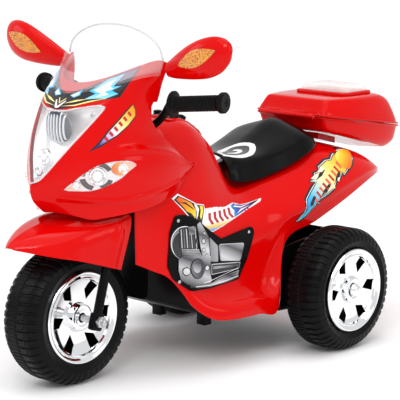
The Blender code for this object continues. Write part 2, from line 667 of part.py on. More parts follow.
def gear_outline(radius, teeth, depth):
    pts = []
    for k in range(teeth):
        for part, r in ((0.0, radius - depth), (0.25, radius - depth), (0.45, radius), (0.75, radius)):
            a = 2 * math.pi * (k + part) / teeth
            pts.append((r * math.cos(a), r * math.sin(a)))
    return pts


def gear(name, centre, steps, bore, pivot, look):
    """Stacked gears and sleeves on one axis: steps are (x0, x1, outline), each a prism joined to the first."""
    first = None
    for k, (x0, x1, outline) in enumerate(steps):
        pts = [(centre[1] + a, centre[2] + b) for a, b in outline]
        if first is None:
            first = add(name, *prism(pts, 0, x0, x1), look, pivot, 20)
        else:
            boolean(first, cutter("%s_step_%d" % (name, k), *prism(pts, 0, x0, x1)), "UNION")
    if bore:
        hole = rod((steps[0][0] - .05, centre[1], centre[2]), (steps[0][0] + .05, centre[1], centre[2]), bore, 16)
        boolean(first, cutter(name + "_bore", *hole))
    return first


def circle_outline(radius, count=20):
    return [(radius * math.cos(2 * math.pi * k / count), radius * math.sin(2 * math.pi * k / count))
            for k in range(count)]


def drive():
    case = add("gearbox_case", *block((-.1035, .3360, .0675), (-.0700, .4275, .1515)), black_plastic())
    bevelled(case, 0.006, 2)
    boolean(case, cutter("gearbox_inside", *block((-.1012, .3384, .0500), (-.0722, .4250, .1492))))
    for name, centre, x0, x1, r in (("gearbox_axle_hole", REAR_AXLE, -.08, -.06, .0062),
                                    ("gearbox_sleeve_hole", REAR_AXLE, -.11, -.09, .0135),
                                    ("gearbox_motor_hole", MOTOR_AXIS, -.08, -.06, .0060)):
        start, end = (x0, centre[1], centre[2]), (x1, centre[1], centre[2])
        boolean(case, cutter(name, *rod(start, end, r, 20)))
    nylon = material("nylon", (0.85, 0.84, 0.78), 0.5)
    gear("drive_gear", REAR_AXLE, [(-.0995, -.0890, gear_outline(.0275, 22, .0018)),
                                   (-.1276, -.0885, circle_outline(.0120, 16))], AXLE_R + 0.0006,
         REAR_SPIN[-1], nylon)
    reduction = empty("reduction_pivot", REDUCTION_AXIS, None, VEHICLE)
    gear("reduction_gear", REDUCTION_AXIS, [(-.0995, -.0785, gear_outline(.0105, 9, .0016)),
                                            (-.0845, -.0785, gear_outline(.0225, 20, .0016))], 0.0026,
         reduction, nylon)
    add("reduction_pin", *rod((-.1007, *REDUCTION_AXIS[1:]), (-.0728, *REDUCTION_AXIS[1:]), 0.0022, 12), steel())
    motor = empty("motor_pivot", MOTOR_AXIS, None, VEHICLE)
    gear("motor_pinion", MOTOR_AXIS, [(-.0845, -.0785, gear_outline(.0058, 8, .0012)),
                                      (-.0790, -.0560, circle_outline(.0012, 10))], None, motor, steel())
    shell_outline = [(0, .0018), (0, .0055), (.003, .0055), (.003, .0135), (.047, .0135), (.047, .0018)]
    add("drive_motor", *turned(shell_outline, MOTOR_AXIS + Vector((-.0695, 0, 0)), (1, 0, 0), 24), steel())
    battery = add("battery", *block((-.035, .205, .0745), (.035, .252, .166)),
                  material("battery_case", (0.10, 0.10, 0.12), 0.5))
    bevelled(battery, 0.003, 2)
    cone = [(0, .004), (0, .026), (.003, .026), (.005, .018), (.016, .016), (.016, .004)]
    add("speaker", *turned(cone, (0, .190, .3300), (0, 0, -1), 20), black_plastic())
    socket = [(0, .0035), (0, .0080), (.003, .0080), (.003, .0055), (.010, .0055), (.010, .0035)]
    add("charge_socket", *turned(socket, (0.060, .4692, .110), (0, 0.001, 0), 16), black_plastic())


# ---- saddle ----
SEAT_ROWS = [
    [(0, .2765, .2945), (0, .290, .290), (0, .318, .2865), (0, .352, .292), (0, .390, .308),
     (0, .425, .3235), (0, .450, .322), (0, .466, .309)],
    [(.034, .2745, .2875), (.045, .287, .285), (.050, .318, .282), (.055, .352, .284), (.0605, .390, .294),
     (.063, .425, .305), (.058, .449, .304), (.044, .4635, .297)],
    [(.0520, .2740, .2720), (.0590, .288, .267), (.0618, .318, .264), (.067, .352, .268), (.073, .390, .277),
     (.0755, .424, .288), (.070, .448, .293), (.054, .4645, .292)],
    [(.0575, .2725, .2545), (.0640, .286, .2500), (.0668, .316, .2500), (.0715, .352, .2560),
     (.077, .390, .267), (.0785, .424, .2790), (.072, .449, .287), (.056, .466, .2885)],
]


def seat():
    half = np.swapaxes(net(SEAT_ROWS, 2, 1), 0, 1)
    shell("seat", mirrored(half), material("seat_black", (0.01, 0.01, 0.011), 0.3), 0.003, (0, 0.36, 0.22))


# ---- dash ----
DASH_OUTLINE = [(-.026, .176), (.026, .176), (.031, .186), (.031, .232), (.024, .246), (-.024, .246),
                (-.031, .232), (-.031, .186)]
BUTTONS = (("horn_button", -.017), ("music_button", .017))
BUTTON_Y = 0.198
BUTTON_Z = 0.3495


def dash():
    top = np.concatenate([flip(BODY[:3][::-1], -1), BODY[:3]], axis=0)
    panel = patch("dash_panel", top[:, 8:18], 0.0010, 0.006, DASH_OUTLINE, 2, (0.28, 0.40), red_gloss())
    for name, x in BUTTONS:
        boolean(panel, cutter(name + "_hole", *rod((x, BUTTON_Y, .30), (x, BUTTON_Y, .40), .0066, 20)))
        stem = [(0, .0006), (0, .0060), (.0065, .0060), (.0075, .0050), (.0080, .0006)]
        add(name, *turned(stem, (x, BUTTON_Y, BUTTON_Z), (0, 0, 1), 20), black_plastic())
    pocket = block((-.0087, .2185, .30), (.0087, .2350, .40))
    boolean(panel, cutter("switch_hole", *pocket))
    pivot = empty("switch_pivot", (0, .2265, .3430), None, VEHICLE)
    lean = Matrix.Rotation(math.radians(-30), 3, "X")
    rocker = add("direction_switch", *block((-.0075, -.0048, -.0015), (.0075, .0048, .0055), lean, (0, .2265, .3430)),
                 black_plastic(), pivot)
    bevelled(rocker, 0.0010, 1)


# ---- foot pedal on the right footrest ----
PEDAL_SLOPE = math.radians(41)
PEDAL_HINGE = Vector((-.1210, .2600, .1055))


def foot_pedal():
    """The pedal lies along the sloping footrest, hinged at its heel, its toe raised."""
    turn = Matrix.Rotation(-PEDAL_SLOPE, 3, "Y")
    pivot = empty("pedal_pivot", PEDAL_HINGE, (0, -PEDAL_SLOPE, 0), VEHICLE)
    rise = Matrix.Rotation(math.radians(-7), 3, "X")
    plate = add("foot_pedal", *block((-.0100, -.052, .0014), (.0100, -.0005, .0050), turn @ rise, PEDAL_HINGE),
                rubber(), pivot)
    bevelled(plate, 0.0008, 1)
    patch("pedal_base", flip(BODY, -1), 0.0005, 0.0020,
          [(-.1290, .205), (-.1090, .205), (-.1090, .268), (-.1290, .268)], 2, (0.08, 0.135), black_plastic())


# ---- trunk ----
TRUNK_FRONT_Z, TRUNK_REAR_Z = 0.3265, 0.2945     # seam height at the front and the rear
TRUNK_PLAN = [(.050, .4745), (.067, .4800), (.0790, .530), (.0820, .575), (.0790, .625), (.0700, .655),
              (.045, .673)]


def trunk_loop(scale_x, front, rear, lift_front, lift_rear, middle=0.56):
    """A loop round the trunk: the plan outline scaled, its ends moved, at a lifted seam height."""
    y0, y1 = TRUNK_PLAN[0][1], TRUNK_PLAN[-1][1]
    half = []
    for x, y in TRUNK_PLAN:
        t = (y - y0) / (y1 - y0)
        z = TRUNK_FRONT_Z + (TRUNK_REAR_Z - TRUNK_FRONT_Z) * t + lift_front + (lift_rear - lift_front) * t
        half.append((x * scale_x, y + front * (1 - t) + rear * t, z))
    return half + [(-x, y, z) for x, y, z in reversed(half)]


def cup(name, loops, look, wall, centre, pivot=VEHICLE):
    """Loops from the open rim to the closed end, with a wall."""
    verts, faces = loops_solid(loops)
    made = add(name, verts, faces[:-2] + [faces[-1]], look, pivot, 30)
    face_away(made, centre)
    return thicken(made, wall)


def trunk():
    tub = cup("trunk_tub", [trunk_loop(1.03, -.003, .003, -.0006, -.0006), trunk_loop(1.03, -.003, .003, -.0030, -.0030),
                            trunk_loop(1.0, .001, -.001, -.0036, -.0036),
                            trunk_loop(.97, .006, -.007, -.018, -.0230), trunk_loop(.88, .016, -.028, -.0260, -.0350)],
              red_gloss(), 0.0022, (0, .57, .33))
    cap = cup("trunk_lid", [trunk_loop(1.03, -.003, .003, .0006, .0006), trunk_loop(1.03, -.003, .003, .0030, .0030),
                            trunk_loop(1.0, .001, -.001, .0036, .0036),
                            trunk_loop(.965, .006, -.010, .012, .020), trunk_loop(.90, .0125, -.042, .0225, .0520),
                            trunk_loop(.84, .0165, -.048, .0240, .0545)],
              red_gloss(), 0.0022, (0, .57, .29), LID_PIVOT)
    plinth = cutter("trunk_lid_plinth", *block((-.051, .5447, .3485), (.051, .6170, .3545)))
    bevelled(plinth, 0.0025, 2)
    boolean(cap, plinth, "UNION")
    for k, x in enumerate((-.036, .020)):
        boolean(cap, cutter("lid_knuckle_%d" % k, *knuckle(x, x + .016, 1)), "UNION")
    for k, x in enumerate((-.0535, -.0196, .0364)):
        width = .0171 if x != -.0196 else .0392
        boolean(tub, cutter("tub_knuckle_%d" % k, *knuckle(x, x + width, -1)), "UNION")
    for name, target in (("lid", cap), ("tub", tub)):
        boolean(target, cutter(name + "_pin_hole", *rod((-.07, *LID_HINGE), (.07, *LID_HINGE), 0.0017, 12)))
    add("trunk_hinge_pin", *rod((-.0540, *LID_HINGE), (.0540, *LID_HINGE), 0.0013, 12), steel())
    oval = ((.047, .560), (.047, .602), (.036, .6115), (-.036, .6115),
            (-.047, .602), (-.047, .560), (-.036, .5505), (.036, .5505))
    dome = [[(x * s, .581 + (y - .581) * s, z) for x, y in oval]
            for s, z in ((1.0, .3549), (.96, .3600), (.80, .3640), (.45, .3660))]
    add("trunk_lid_cover", *loops_solid(dome), clear(), LID_PIVOT, 50)


def knuckle(x0, x1, way):
    """Hinge knuckle with a web running back to the lid (way 1, above the seam) or the tub (-1)."""
    y, z = LID_HINGE
    outline = [(y + .0036 * math.cos(a), z + .0036 * math.sin(a) * way)
               for a in (math.radians(d) for d in (90, 135, 180, 225, 270, 315))]
    outline += [(y + .0036, z + way * .0010), (y + .0075, z + way * .0010), (y + .0075, z + way * .0036)]
    return prism(outline if way > 0 else outline[::-1], 0, x0, x1)


def trunk_fittings():
    add("trunk_bracket", *prism([(.506, .2862), (.548, .2752), (.548, .2848), (.506, .2958)], 0, -.030, .030),
        red_gloss())


# ---- build ----
for SIDE, WORD in ((1, "left"), (-1, "right")):
    body_half(SIDE, WORD)
    engine_panel(SIDE, WORD)
    side_lamp(SIDE, WORD)
    mirror(SIDE, WORD)
    grip(SIDE, WORD)
front_fairing()
headlight()
windscreen()
front_fender()
fork()
handlebar()
wheels()
chassis_tray()
drive()
seat()
dash()
foot_pedal()
trunk()
trunk_fittings()
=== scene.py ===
"""The looks of a child's three-wheel ride-on motorcycle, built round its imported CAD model.

Shapes are given in metres from the front axle, as in the CAD model: +X the rider's left, -Y the
front, +Z up. A piece whose name has "left" or "right" is one of a pair made by the same function.
"""

import math

import bmesh
import bpy
import numpy as np
from mathutils import Matrix, Vector
from mathutils.bvhtree import BVHTree
from mathutils.geometry import delaunay_2d_cdt


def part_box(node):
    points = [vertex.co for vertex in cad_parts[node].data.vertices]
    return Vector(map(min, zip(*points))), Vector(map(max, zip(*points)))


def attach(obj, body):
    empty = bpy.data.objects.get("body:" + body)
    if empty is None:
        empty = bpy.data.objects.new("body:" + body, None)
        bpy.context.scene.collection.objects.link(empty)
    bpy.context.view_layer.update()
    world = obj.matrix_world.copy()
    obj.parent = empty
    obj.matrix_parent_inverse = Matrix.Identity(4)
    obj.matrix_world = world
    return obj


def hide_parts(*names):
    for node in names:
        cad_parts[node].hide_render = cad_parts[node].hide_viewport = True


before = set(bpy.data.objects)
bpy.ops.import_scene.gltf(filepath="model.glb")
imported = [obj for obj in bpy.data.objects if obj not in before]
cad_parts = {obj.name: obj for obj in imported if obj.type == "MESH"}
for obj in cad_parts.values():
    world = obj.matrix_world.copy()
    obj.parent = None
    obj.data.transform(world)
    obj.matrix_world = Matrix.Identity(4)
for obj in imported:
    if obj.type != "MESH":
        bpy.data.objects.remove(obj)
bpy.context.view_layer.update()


def middle(node):
    """Centre of a CAD node's box."""
    low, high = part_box(node)
    return (Vector(low) + Vector(high)) / 2


FRONT_Y = middle("front_axle").y
FRONT_R = middle("front_axle").z
REAR_AXLE = middle("rear_axle") - Vector((0, FRONT_Y, 0))
REAR_X = middle("rear_wheel_left").x
REAR_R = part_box("rear_wheel_left")[1][2] - REAR_AXLE.z
TYRE_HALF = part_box("front_wheel")[1][0]
FRONT_AXLE = Vector((0, 0, FRONT_R))
RAKE = math.radians(16)
STEER_DIR = Vector((0, math.sin(RAKE), math.cos(RAKE)))
LEG_X = middle("fork_leg_left").x
WALL = .0025
SEAM_X = .0012
SIDES = ((1, "left"), (-1, "right"))
FAR = .6              # further out than any surface
LAYER = .0003         # height of one layer of print

# ---- shapes of the moulded skins (rows of x, y, z) and of what lies on them ----
BODY_ROWS = [
    [(.066, .064, .266), (.068, .088, .274), (.058, .112, .298), (.034, .126, .326), (SEAM_X, .132, .34),
     (SEAM_X, .165, .35), (SEAM_X, .205, .348), (SEAM_X, .246, .324), (SEAM_X, .278, .266),
     (SEAM_X, .33, .256), (SEAM_X, .4, .28), (SEAM_X, .455, .291), (SEAM_X, .53, .278),
     (SEAM_X, .585, .257), (SEAM_X, .626, .229)],
    [(.0685, .064, .248), (.0735, .088, .256), (.074, .11, .275), (.066, .128, .302), (.05, .143, .327),
     (.046, .17, .336), (.046, .205, .334), (.047, .243, .303), (.045, .277, .246), (.048, .33, .248),
     (.055, .4, .266), (.06, .458, .282), (.062, .53, .2725), (.05, .585, .2535), (.028, .622, .229)],
    [(.07, .0635, .228), (.0765, .0875, .228), (.081, .109, .236), (.083, .127, .247),
     (.083, .142, .257), (.08, .168, .262), (.076, .205, .257), (.0685, .246, .244), (.065, .284, .234),
     (.0705, .335, .2425), (.0795, .4, .256), (.083, .462, .2705), (.088, .54, .2605),
     (.072, .588, .245), (.047, .617, .2282)],
    [(.071, .063, .197), (.079, .087, .192), (.086, .108, .19), (.0915, .126, .19), (.096, .14, .188),
     (.099, .165, .186), (.1, .203, .186), (.1, .25, .188), (.103, .293, .196), (.109, .335, .207),
     (.1125, .4, .219), (.1125, .47, .236), (.104, .54, .244), (.084, .588, .2385), (.056, .617, .2275)],
    [(.0717, .063, .181), (.08, .087, .175), (.087, .108, .168), (.0925, .1255, .158),
     (.098, .139, .143), (.1025, .164, .121), (.1045, .201, .113), (.105, .25, .112), (.1065, .2935, .116),
     (.112, .331, .182), (.113, .4, .2), (.113, .47, .22), (.1045, .54, .236),
     (.0845, .588, .2345), (.0565, .617, .2268)],
    [(.0719, .063, .171), (.081, .087, .16), (.0885, .108, .151), (.0965, .1255, .134),
     (.107, .139, .113), (.1195, .164, .097), (.129, .199, .091), (.1305, .25, .0895), (.1285, .294, .09),
     (.1132, .33, .169), (.1135, .4, .189), (.113, .47, .212), (.1045, .54, .2315),
     (.0845, .588, .2325), (.0565, .617, .2262)],
    [(.072, .063, .165), (.081, .087, .153), (.089, .108, .142), (.0975, .125, .121), (.11, .138, .0975),
     (.124, .163, .0785), (.133, .197, .0735), (.134, .25, .072), (.132, .2945, .072),
     (.1135, .329, .161), (.1135, .4, .183), (.113, .47, .2065), (.1045, .54, .2275),
     (.0845, .588, .231), (.0565, .617, .2256)],
]
FAIRING_ROWS = [
    [(0, -.04, .243), (.02, -.031, .2436), (.04, -.017, .239), (.054, -.002, .2345), (.068, .017, .237),
     (.08, .04, .2405), (.0875, .068, .2445), (.0885, .098, .25), (.085, .128, .259), (.078, .158, .276)],
    [(0, -.06, .262), (.02, -.0425, .2615), (.04, -.0215, .259), (.056, -.003, .2565), (.071, .017, .256),
     (.083, .042, .2575), (.09, .07, .26), (.091, .1, .2645), (.0875, .13, .271), (.0775, .168, .2845)],
    [(0, -.0635, .284), (.02, -.0495, .284), (.04, -.033, .283), (.058, -.013, .282), (.074, .01, .281),
     (.086, .038, .281), (.0925, .068, .2825), (.093, .1, .285), (.0885, .132, .288),
     (.0755, .1765, .2915)],
    [(0, -.051, .312), (.02, -.0455, .312), (.04, -.0325, .311), (.058, -.013, .31), (.073, .01, .309),
     (.0845, .037, .309), (.0905, .066, .3095), (.0915, .096, .309), (.087, .126, .3055),
     (.077, .16, .2965)],
    [(0, -.04, .332), (.02, -.037, .332), (.04, -.0275, .332), (.0575, -.01, .332), (.0695, .011, .332),
     (.0785, .036, .332), (.0835, .062, .332), (.0845, .083, .332), (.083, .103, .331),
     (.0795, .122, .3275)],
    [(0, -.0275, .355), (.02, -.0255, .355), (.04, -.018, .355), (.0575, -.002, .356), (.068, .016, .357),
     (.0755, .036, .358), (.08, .056, .358), (.0825, .07, .358), (.083, .079, .358), (.0835, .087, .358)],
    [(0, -.0155, .38), (.02, -.0135, .381), (.04, -.004, .384), (.06, .0155, .388),
     (.0695, .033, .3905), (.076, .05, .393), (.0805, .066, .3955), (.083, .078, .3975), (.0845, .087, .399),
     (.086, .0965, .4005)],
    [(0, .004, .398), (.02, .007, .4), (.04, .017, .405), (.0585, .034, .411), (.069, .049, .415),
     (.0765, .063, .4185), (.0815, .076, .4205), (.085, .086, .4215), (.0875, .094, .422),
     (.0895, .102, .422)],
    [(0, .0195, .4135), (.02, .023, .4155), (.038, .0325, .42), (.055, .0485, .4275), (.066, .064, .434),
     (.0745, .078, .439), (.0805, .089, .4425), (.0855, .096, .4435), (.09, .101, .442),
     (.095, .106, .438)],
]
FENDER_ROWS = [
    [(0, -.107, .205), (0, -.09, .2165), (0, -.065, .2255), (0, -.038, .2305), (0, -.008, .2325),
     (0, .025, .2335), (0, .058, .235)],
    [(.004, -.1055, .2045), (.015, -.087, .2125), (.026, -.063, .2205), (.034, -.037, .2265),
     (.04, -.008, .23), (.044, .026, .232), (.046, .059, .2345)],
    [(.007, -.104, .203), (.026, -.084, .2055), (.042, -.061, .209), (.0545, -.036, .212),
     (.063, -.007, .2155), (.0672, .028, .22), (.0675, .059, .2265)],
    [(.009, -.1025, .2015), (.031, -.0825, .196), (.0485, -.06, .19), (.0605, -.033, .1835),
     (.0665, -.004, .1745), (.0675, .0205, .1665), (.0675, .0385, .161)],
]
SEAT_ROWS = [
    [(0, .2765, .2945), (0, .29, .29), (0, .318, .2865), (0, .352, .292), (0, .39, .308),
     (0, .425, .3235), (0, .45, .322), (0, .466, .309)],
    [(.034, .2745, .2875), (.045, .287, .285), (.05, .318, .282), (.055, .352, .284), (.0605, .39, .294),
     (.063, .425, .305), (.058, .449, .304), (.044, .4635, .297)],
    [(.052, .274, .272), (.059, .288, .267), (.0618, .318, .264), (.067, .352, .268), (.073, .39, .277),
     (.0755, .424, .288), (.07, .448, .293), (.054, .4645, .292)],
    [(.0575, .2725, .2545), (.064, .286, .25), (.0668, .316, .25), (.0715, .352, .256),
     (.077, .39, .267), (.0785, .424, .279), (.072, .449, .287), (.056, .466, .2885)],
]
MIRROR_RINGS = [  # centre x, y, z, half height, half depth
    (.0985, .0985, .431, .0095, .0045), (.112, .0965, .434, .0135, .008), (.13, .0935, .4395, .0185, .011),
    (.152, .0905, .446, .0235, .013), (.175, .09, .4525, .0265, .0135), (.195, .0912, .459, .0245, .012),
    (.209, .0928, .465, .017, .0085), (.2155, .094, .469, .0075, .004)]
CHASSIS = [  # y, floor z, half width, rim z
    (.108, .103, .05, .284), (.125, .0965, .056, .215), (.15, .0875, .062, .16), (.187, .0735, .068, .14),
    (.25, .057, .075, .128), (.3, .055, .082, .128), (.335, .055, .107, .152), (.4, .055, .108, .16),
    (.465, .062, .106, .16)]
TRUNK_FRONT_Z, TRUNK_REAR_Z = .3265, .2945     # seam height at the front and the rear
TRUNK_PLAN = [(.05, .4745), (.067, .48), (.079, .53), (.082, .575), (.079, .625), (.07, .655), (.045, .673)]
HEADLIGHT_OUTLINE = [(0, .2835), (.01, .2885), (.026, .311), (.042, .338), (.054, .362), (.0615, .38),
    (.0625, .3865), (.057, .3885), (.04, .386), (.02, .3815), (0, .38)]
BAR_SLOT = [(.0825, .364), (.0825, .382), (.086, .3875), (.11, .3875), (.11, .358), (.086, .358)]
ENGINE_OUTLINE = [(.124, .2265), (.113, .203), (.1075, .157), (.114, .139), (.137, .12), (.172, .1175),
    (.236, .121), (.2535, .145), (.2725, .186), (.268, .1925), (.2036, .184), (.184, .1975), (.158, .2185),
    (.136, .2272)]
LAMP = [(-.036, .2775), (-.0275, .2894), (-.017, .3), (-.004, .309), (.0096, .3131), (.024, .3142),
    (.0396, .313), (.0472, .309), (.0476, .3054), (.0374, .2994), (.0264, .2907), (.0146, .2843),
    (.0022, .2789), (-.0098, .2751), (-.0232, .2754)]
SWOOSH = [(.1234, .2499), (.1343, .2555), (.1466, .2484), (.167, .2376), (.1825, .2343), (.1825, .2286),
    (.2068, .2274), (.2301, .2239), (.253, .2262), (.2683, .2216), (.2834, .2219), (.3108, .2257),
    (.3058, .2219), (.275, .2142), (.2388, .2057), (.2141, .2001), (.1912, .1954), (.1782, .1984),
    (.1634, .2061), (.1522, .2134), (.1499, .2183), (.1373, .2336)]
FLAME = [(.5159, .2742), (.5233, .2701), (.5145, .2608), (.5, .2521), (.4849, .2467), (.4724, .2411),
    (.4707, .2447), (.459, .2366), (.455, .2382), (.4467, .2306), (.4406, .2251), (.4269, .2194),
    (.4155, .2159), (.4059, .2134), (.4077, .2069), (.4002, .2104), (.3965, .2059), (.3887, .202),
    (.3771, .1937), (.3624, .1882), (.353, .1883), (.3621, .1945), (.3717, .2006), (.3762, .2086),
    (.3793, .2179), (.3909, .2258), (.4033, .2336), (.4123, .2374), (.4038, .2392), (.416, .2449),
    (.4189, .2504), (.4307, .2529), (.4324, .2584), (.442, .2622), (.4515, .266), (.4626, .2662),
    (.4729, .2719), (.495, .276)]
LEAF = [(-.011, .3274), (.0009, .3375), (.0158, .3539), (.032, .3687), (.0419, .3781), (.0529, .3875),
    (.0565, .3792), (.056, .3713), (.0437, .3591), (.027, .3474), (.0145, .3411), (.0031, .3345)]


# ---- materials: each is a node tree with a little procedural variation ----
LOOKS = {}


def blank(name):
    """A new material with its node tree, its shader and the object coordinates its textures use."""
    made = LOOKS[name] = bpy.data.materials.new("look_" + name)
    made.use_nodes = True
    tree = made.node_tree
    return made, tree, tree.nodes["Principled BSDF"], node(tree, "TexCoord").outputs["Object"]


def node(tree, kind, source=None, socket="Vector", **values):
    """A shader node with the given input values; the output `source` feeds its input `socket`."""
    made = tree.nodes.new("ShaderNode" + kind)
    for name, value in values.items():
        made.inputs[name.replace("_", " ")].default_value = value
    if source:
        tree.links.new(source, made.inputs[socket])
    return made


def ramp_of(tree, source, colours):
    """Colour ramp from (position, colour) pairs."""
    made = node(tree, "ValToRGB", source, "Fac")
    while len(made.color_ramp.elements) < len(colours):
        made.color_ramp.elements.new(.5)
    for element, (spot, colour) in zip(made.color_ramp.elements, colours):
        element.position = spot
        element.color = (*colour, 1)
    return made.outputs["Color"]


def shade(base, **values):
    for name, value in values.items():
        base.inputs[name.replace("_", " ")].default_value = value


def material(name, colour, rough=.4, metal=0.0, coat=0.0, grain=0.0, size=400.0, shift=.06, alpha=1.0,
        specular=.25):
    """Plastic, rubber or metal: colour drifts slightly with a large noise, roughness with a fine one."""
    if name in LOOKS:
        return LOOKS[name]
    made, tree, base, place = blank(name)
    cloud = node(tree, "TexNoise", place, Scale=14.0, Detail=3.0)
    tint = node(tree, "Mix")
    tint.data_type = "RGBA"
    tint.inputs["A"].default_value = (*[c * (1 - shift) for c in colour], 1)
    tint.inputs["B"].default_value = (*[min(1, c * (1 + shift)) for c in colour], 1)
    tree.links.new(cloud.outputs["Fac"], tint.inputs["Factor"])
    tree.links.new(tint.outputs["Result"], base.inputs["Base Color"])
    fine = node(tree, "TexNoise", place, Scale=size, Detail=2.0).outputs["Fac"]
    spread = node(tree, "MapRange", fine, "Value", To_Min=rough * .85, To_Max=min(1.0, rough * 1.15))
    tree.links.new(spread.outputs["Result"], base.inputs["Roughness"])
    if grain:
        bump = node(tree, "Bump", fine, "Height", Strength=grain, Distance=.0004)
        tree.links.new(bump.outputs["Normal"], base.inputs["Normal"])
    shade(base, Metallic=metal, Coat_Weight=coat, Coat_Roughness=.04, Specular_IOR_Level=specular,
        Alpha=alpha)
    return made


def gradient(name, start, end, colours, rough=.25, metal=0.0):
    """Print whose colour changes from the point start to the point end."""
    if name in LOOKS:
        return LOOKS[name]
    made, tree, base, place = blank(name)
    start, end = (Vector(p) + Vector((0, FRONT_Y, 0)) for p in (start, end))
    axis = (end - start).normalized()
    along = tree.nodes.new("ShaderNodeVectorMath")
    along.operation = "DOT_PRODUCT"
    along.inputs[1].default_value = axis
    tree.links.new(place, along.inputs[0])
    spread = node(tree, "MapRange", along.outputs["Value"], "Value", From_Min=start.dot(axis),
        From_Max=end.dot(axis))
    tree.links.new(ramp_of(tree, spread.outputs["Result"], colours), base.inputs["Base Color"])
    shade(base, Roughness=rough, Metallic=metal, Specular_IOR_Level=.25)
    return made


def honeycomb():
    """Orange reflector print: a dark mesh of small cells over a yellow-orange field."""
    if "honeycomb" in LOOKS:
        return LOOKS["honeycomb"]
    made = material("honeycomb", (.9, .28, .02), .3, coat=.3)
    tree = made.node_tree
    place = node(tree, "TexCoord").outputs["Object"]
    cells = node(tree, "TexVoronoi")
    cells.feature = "DISTANCE_TO_EDGE"
    cells.inputs["Scale"].default_value = 460.0
    cells.inputs["Randomness"].default_value = .95
    tree.links.new(place, cells.inputs["Vector"])
    mesh = ramp_of(tree, cells.outputs["Distance"], [(.04, (.3, .05, .06)), (.2, (1.0, .46, .03))])
    tree.links.new(mesh, tree.nodes["Principled BSDF"].inputs["Base Color"])
    return made


def red():
    return material("red_gloss", (.62, .0008, .0006), .1, shift=.03, specular=.15)


def black():
    return material("black_plastic", (.0025, .0025, .003), .3, grain=.1, size=900, shift=.2, specular=.09)


def tyre():
    return material("wheel_black", (.003, .003, .0035), .36, grain=.12, size=700, shift=.25, specular=.1)


def rubbery():
    return material("grip_black", (.004, .004, .0045), .5, grain=.15, size=900, shift=.25, specular=.1)


def chrome():
    return material("chrome", (.88, .89, .91), .06, 1.0, shift=.02)


def steel():
    return material("steel", (.55, .56, .57), .28, 1.0, grain=.1, shift=.08)


def clear():
    return material("clear", (.96, .97, .98), .03, alpha=.07, shift=.01, specular=.5)


def white_print():
    return material("white_print", (.85, .85, .86), .3, coat=.4, shift=.02)


def black_print():
    return material("black_print", (.01, .009, .012), .3, coat=.4, shift=.2)


def brick_print():
    return material("brick_print", (.5, .03, .03), .3, shift=.1)


# ---- shapes ----
def curve_through(points, steps):
    """Catmull-Rom curve through points (any array shape after the first axis)."""
    pts = np.asarray(points, float)
    pts = np.concatenate([2 * pts[:1] - pts[1:2], pts, 2 * pts[-1:] - pts[-2:-1]])
    out = []
    for i in range(1, len(pts) - 2):
        a, b, c, d = pts[i - 1:i + 3]
        for k in range(steps):
            t = k / steps
            out.append(.5 * (2 * b + (c - a) * t + (2 * a - 5 * b + 4 * c - d) * t * t
                + (3 * b - a - 3 * c + d) * t ** 3))
    out.append(pts[-2])
    return np.array(out)


def closed_curve(points, steps):
    """Closed Catmull-Rom curve through points."""
    pts = np.asarray(points, float)
    many = np.concatenate([pts[-2:], pts, pts[:2]])
    return curve_through(many, steps)[2 * steps:(2 + len(pts)) * steps]


def net(rows, along, across):
    """A smooth grid through rows of points, with that many steps between points and between rows."""
    grid = curve_through(np.asarray(rows, float), across)
    return np.swapaxes(curve_through(np.swapaxes(grid, 0, 1), along), 0, 1)


def mirrored(grid):
    """The grid of the rider's left half joined to its mirror image."""
    other = grid[:, :0:-1].copy()
    other[..., 0] *= -1
    return np.concatenate([other, grid], axis=1)


def flip(grid, side):
    out = grid.copy()
    out[..., 0] *= side
    return out


def sheet(grid):
    """Vertices and faces of a grid."""
    n, m = grid.shape[:2]
    faces = [(i * m + j, i * m + j + 1, (i + 1) * m + j + 1, (i + 1) * m + j) for i in range(n - 1)
        for j in range(m - 1)]
    return grid.reshape(-1, 3), faces


def add(name, verts, faces, look, body="frame", replaces=(), smooth=40, centre=None):
    """A piece whose vertices are given from the front axle; it rides on a CAD body."""
    mesh = bpy.data.meshes.new(name)
    mesh.from_pydata([(float(v[0]), float(v[1]) + FRONT_Y, float(v[2])) for v in verts], [], faces)
    made = bpy.data.objects.new(name, mesh)
    bpy.context.scene.collection.objects.link(made)
    if look:
        mesh.materials.append(look)
    work = bmesh.new()
    work.from_mesh(mesh)
    bmesh.ops.recalc_face_normals(work, faces=work.faces)
    work.to_mesh(mesh)
    work.free()
    if centre is not None:
        spot = Vector(centre) + Vector((0, FRONT_Y, 0))
        if sum((f.center - spot).dot(f.normal) * f.area for f in mesh.polygons) < 0:
            mesh.flip_normals()
    if smooth:
        mesh.shade_smooth()
        mesh.set_sharp_from_angle(angle=math.radians(smooth))
    if body:
        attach(made, body)
    if replaces:
        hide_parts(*replaces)
    return made


def bake(made, smooth=40):
    """Applies the modifiers and shades the result."""
    graph = bpy.context.evaluated_depsgraph_get()
    mesh = bpy.data.meshes.new_from_object(made.evaluated_get(graph))
    made.modifiers.clear()
    made.data = mesh
    mesh.shade_smooth()
    mesh.set_sharp_from_angle(angle=math.radians(smooth))
    return made


def thicken(made, wall, inward=True, rim=0.0, even=True):
    step = made.modifiers.new("wall", "SOLIDIFY")
    step.thickness = wall
    step.offset = -1 if inward else 1
    step.use_even_offset = even
    if rim:
        rounding(made, rim)
    return made


def rounding(made, width, segments=2, limit=50):
    step = made.modifiers.new("edges", "BEVEL")
    step.width = width
    step.segments = segments
    step.limit_method = "ANGLE"
    step.angle_limit = math.radians(limit)
    return made


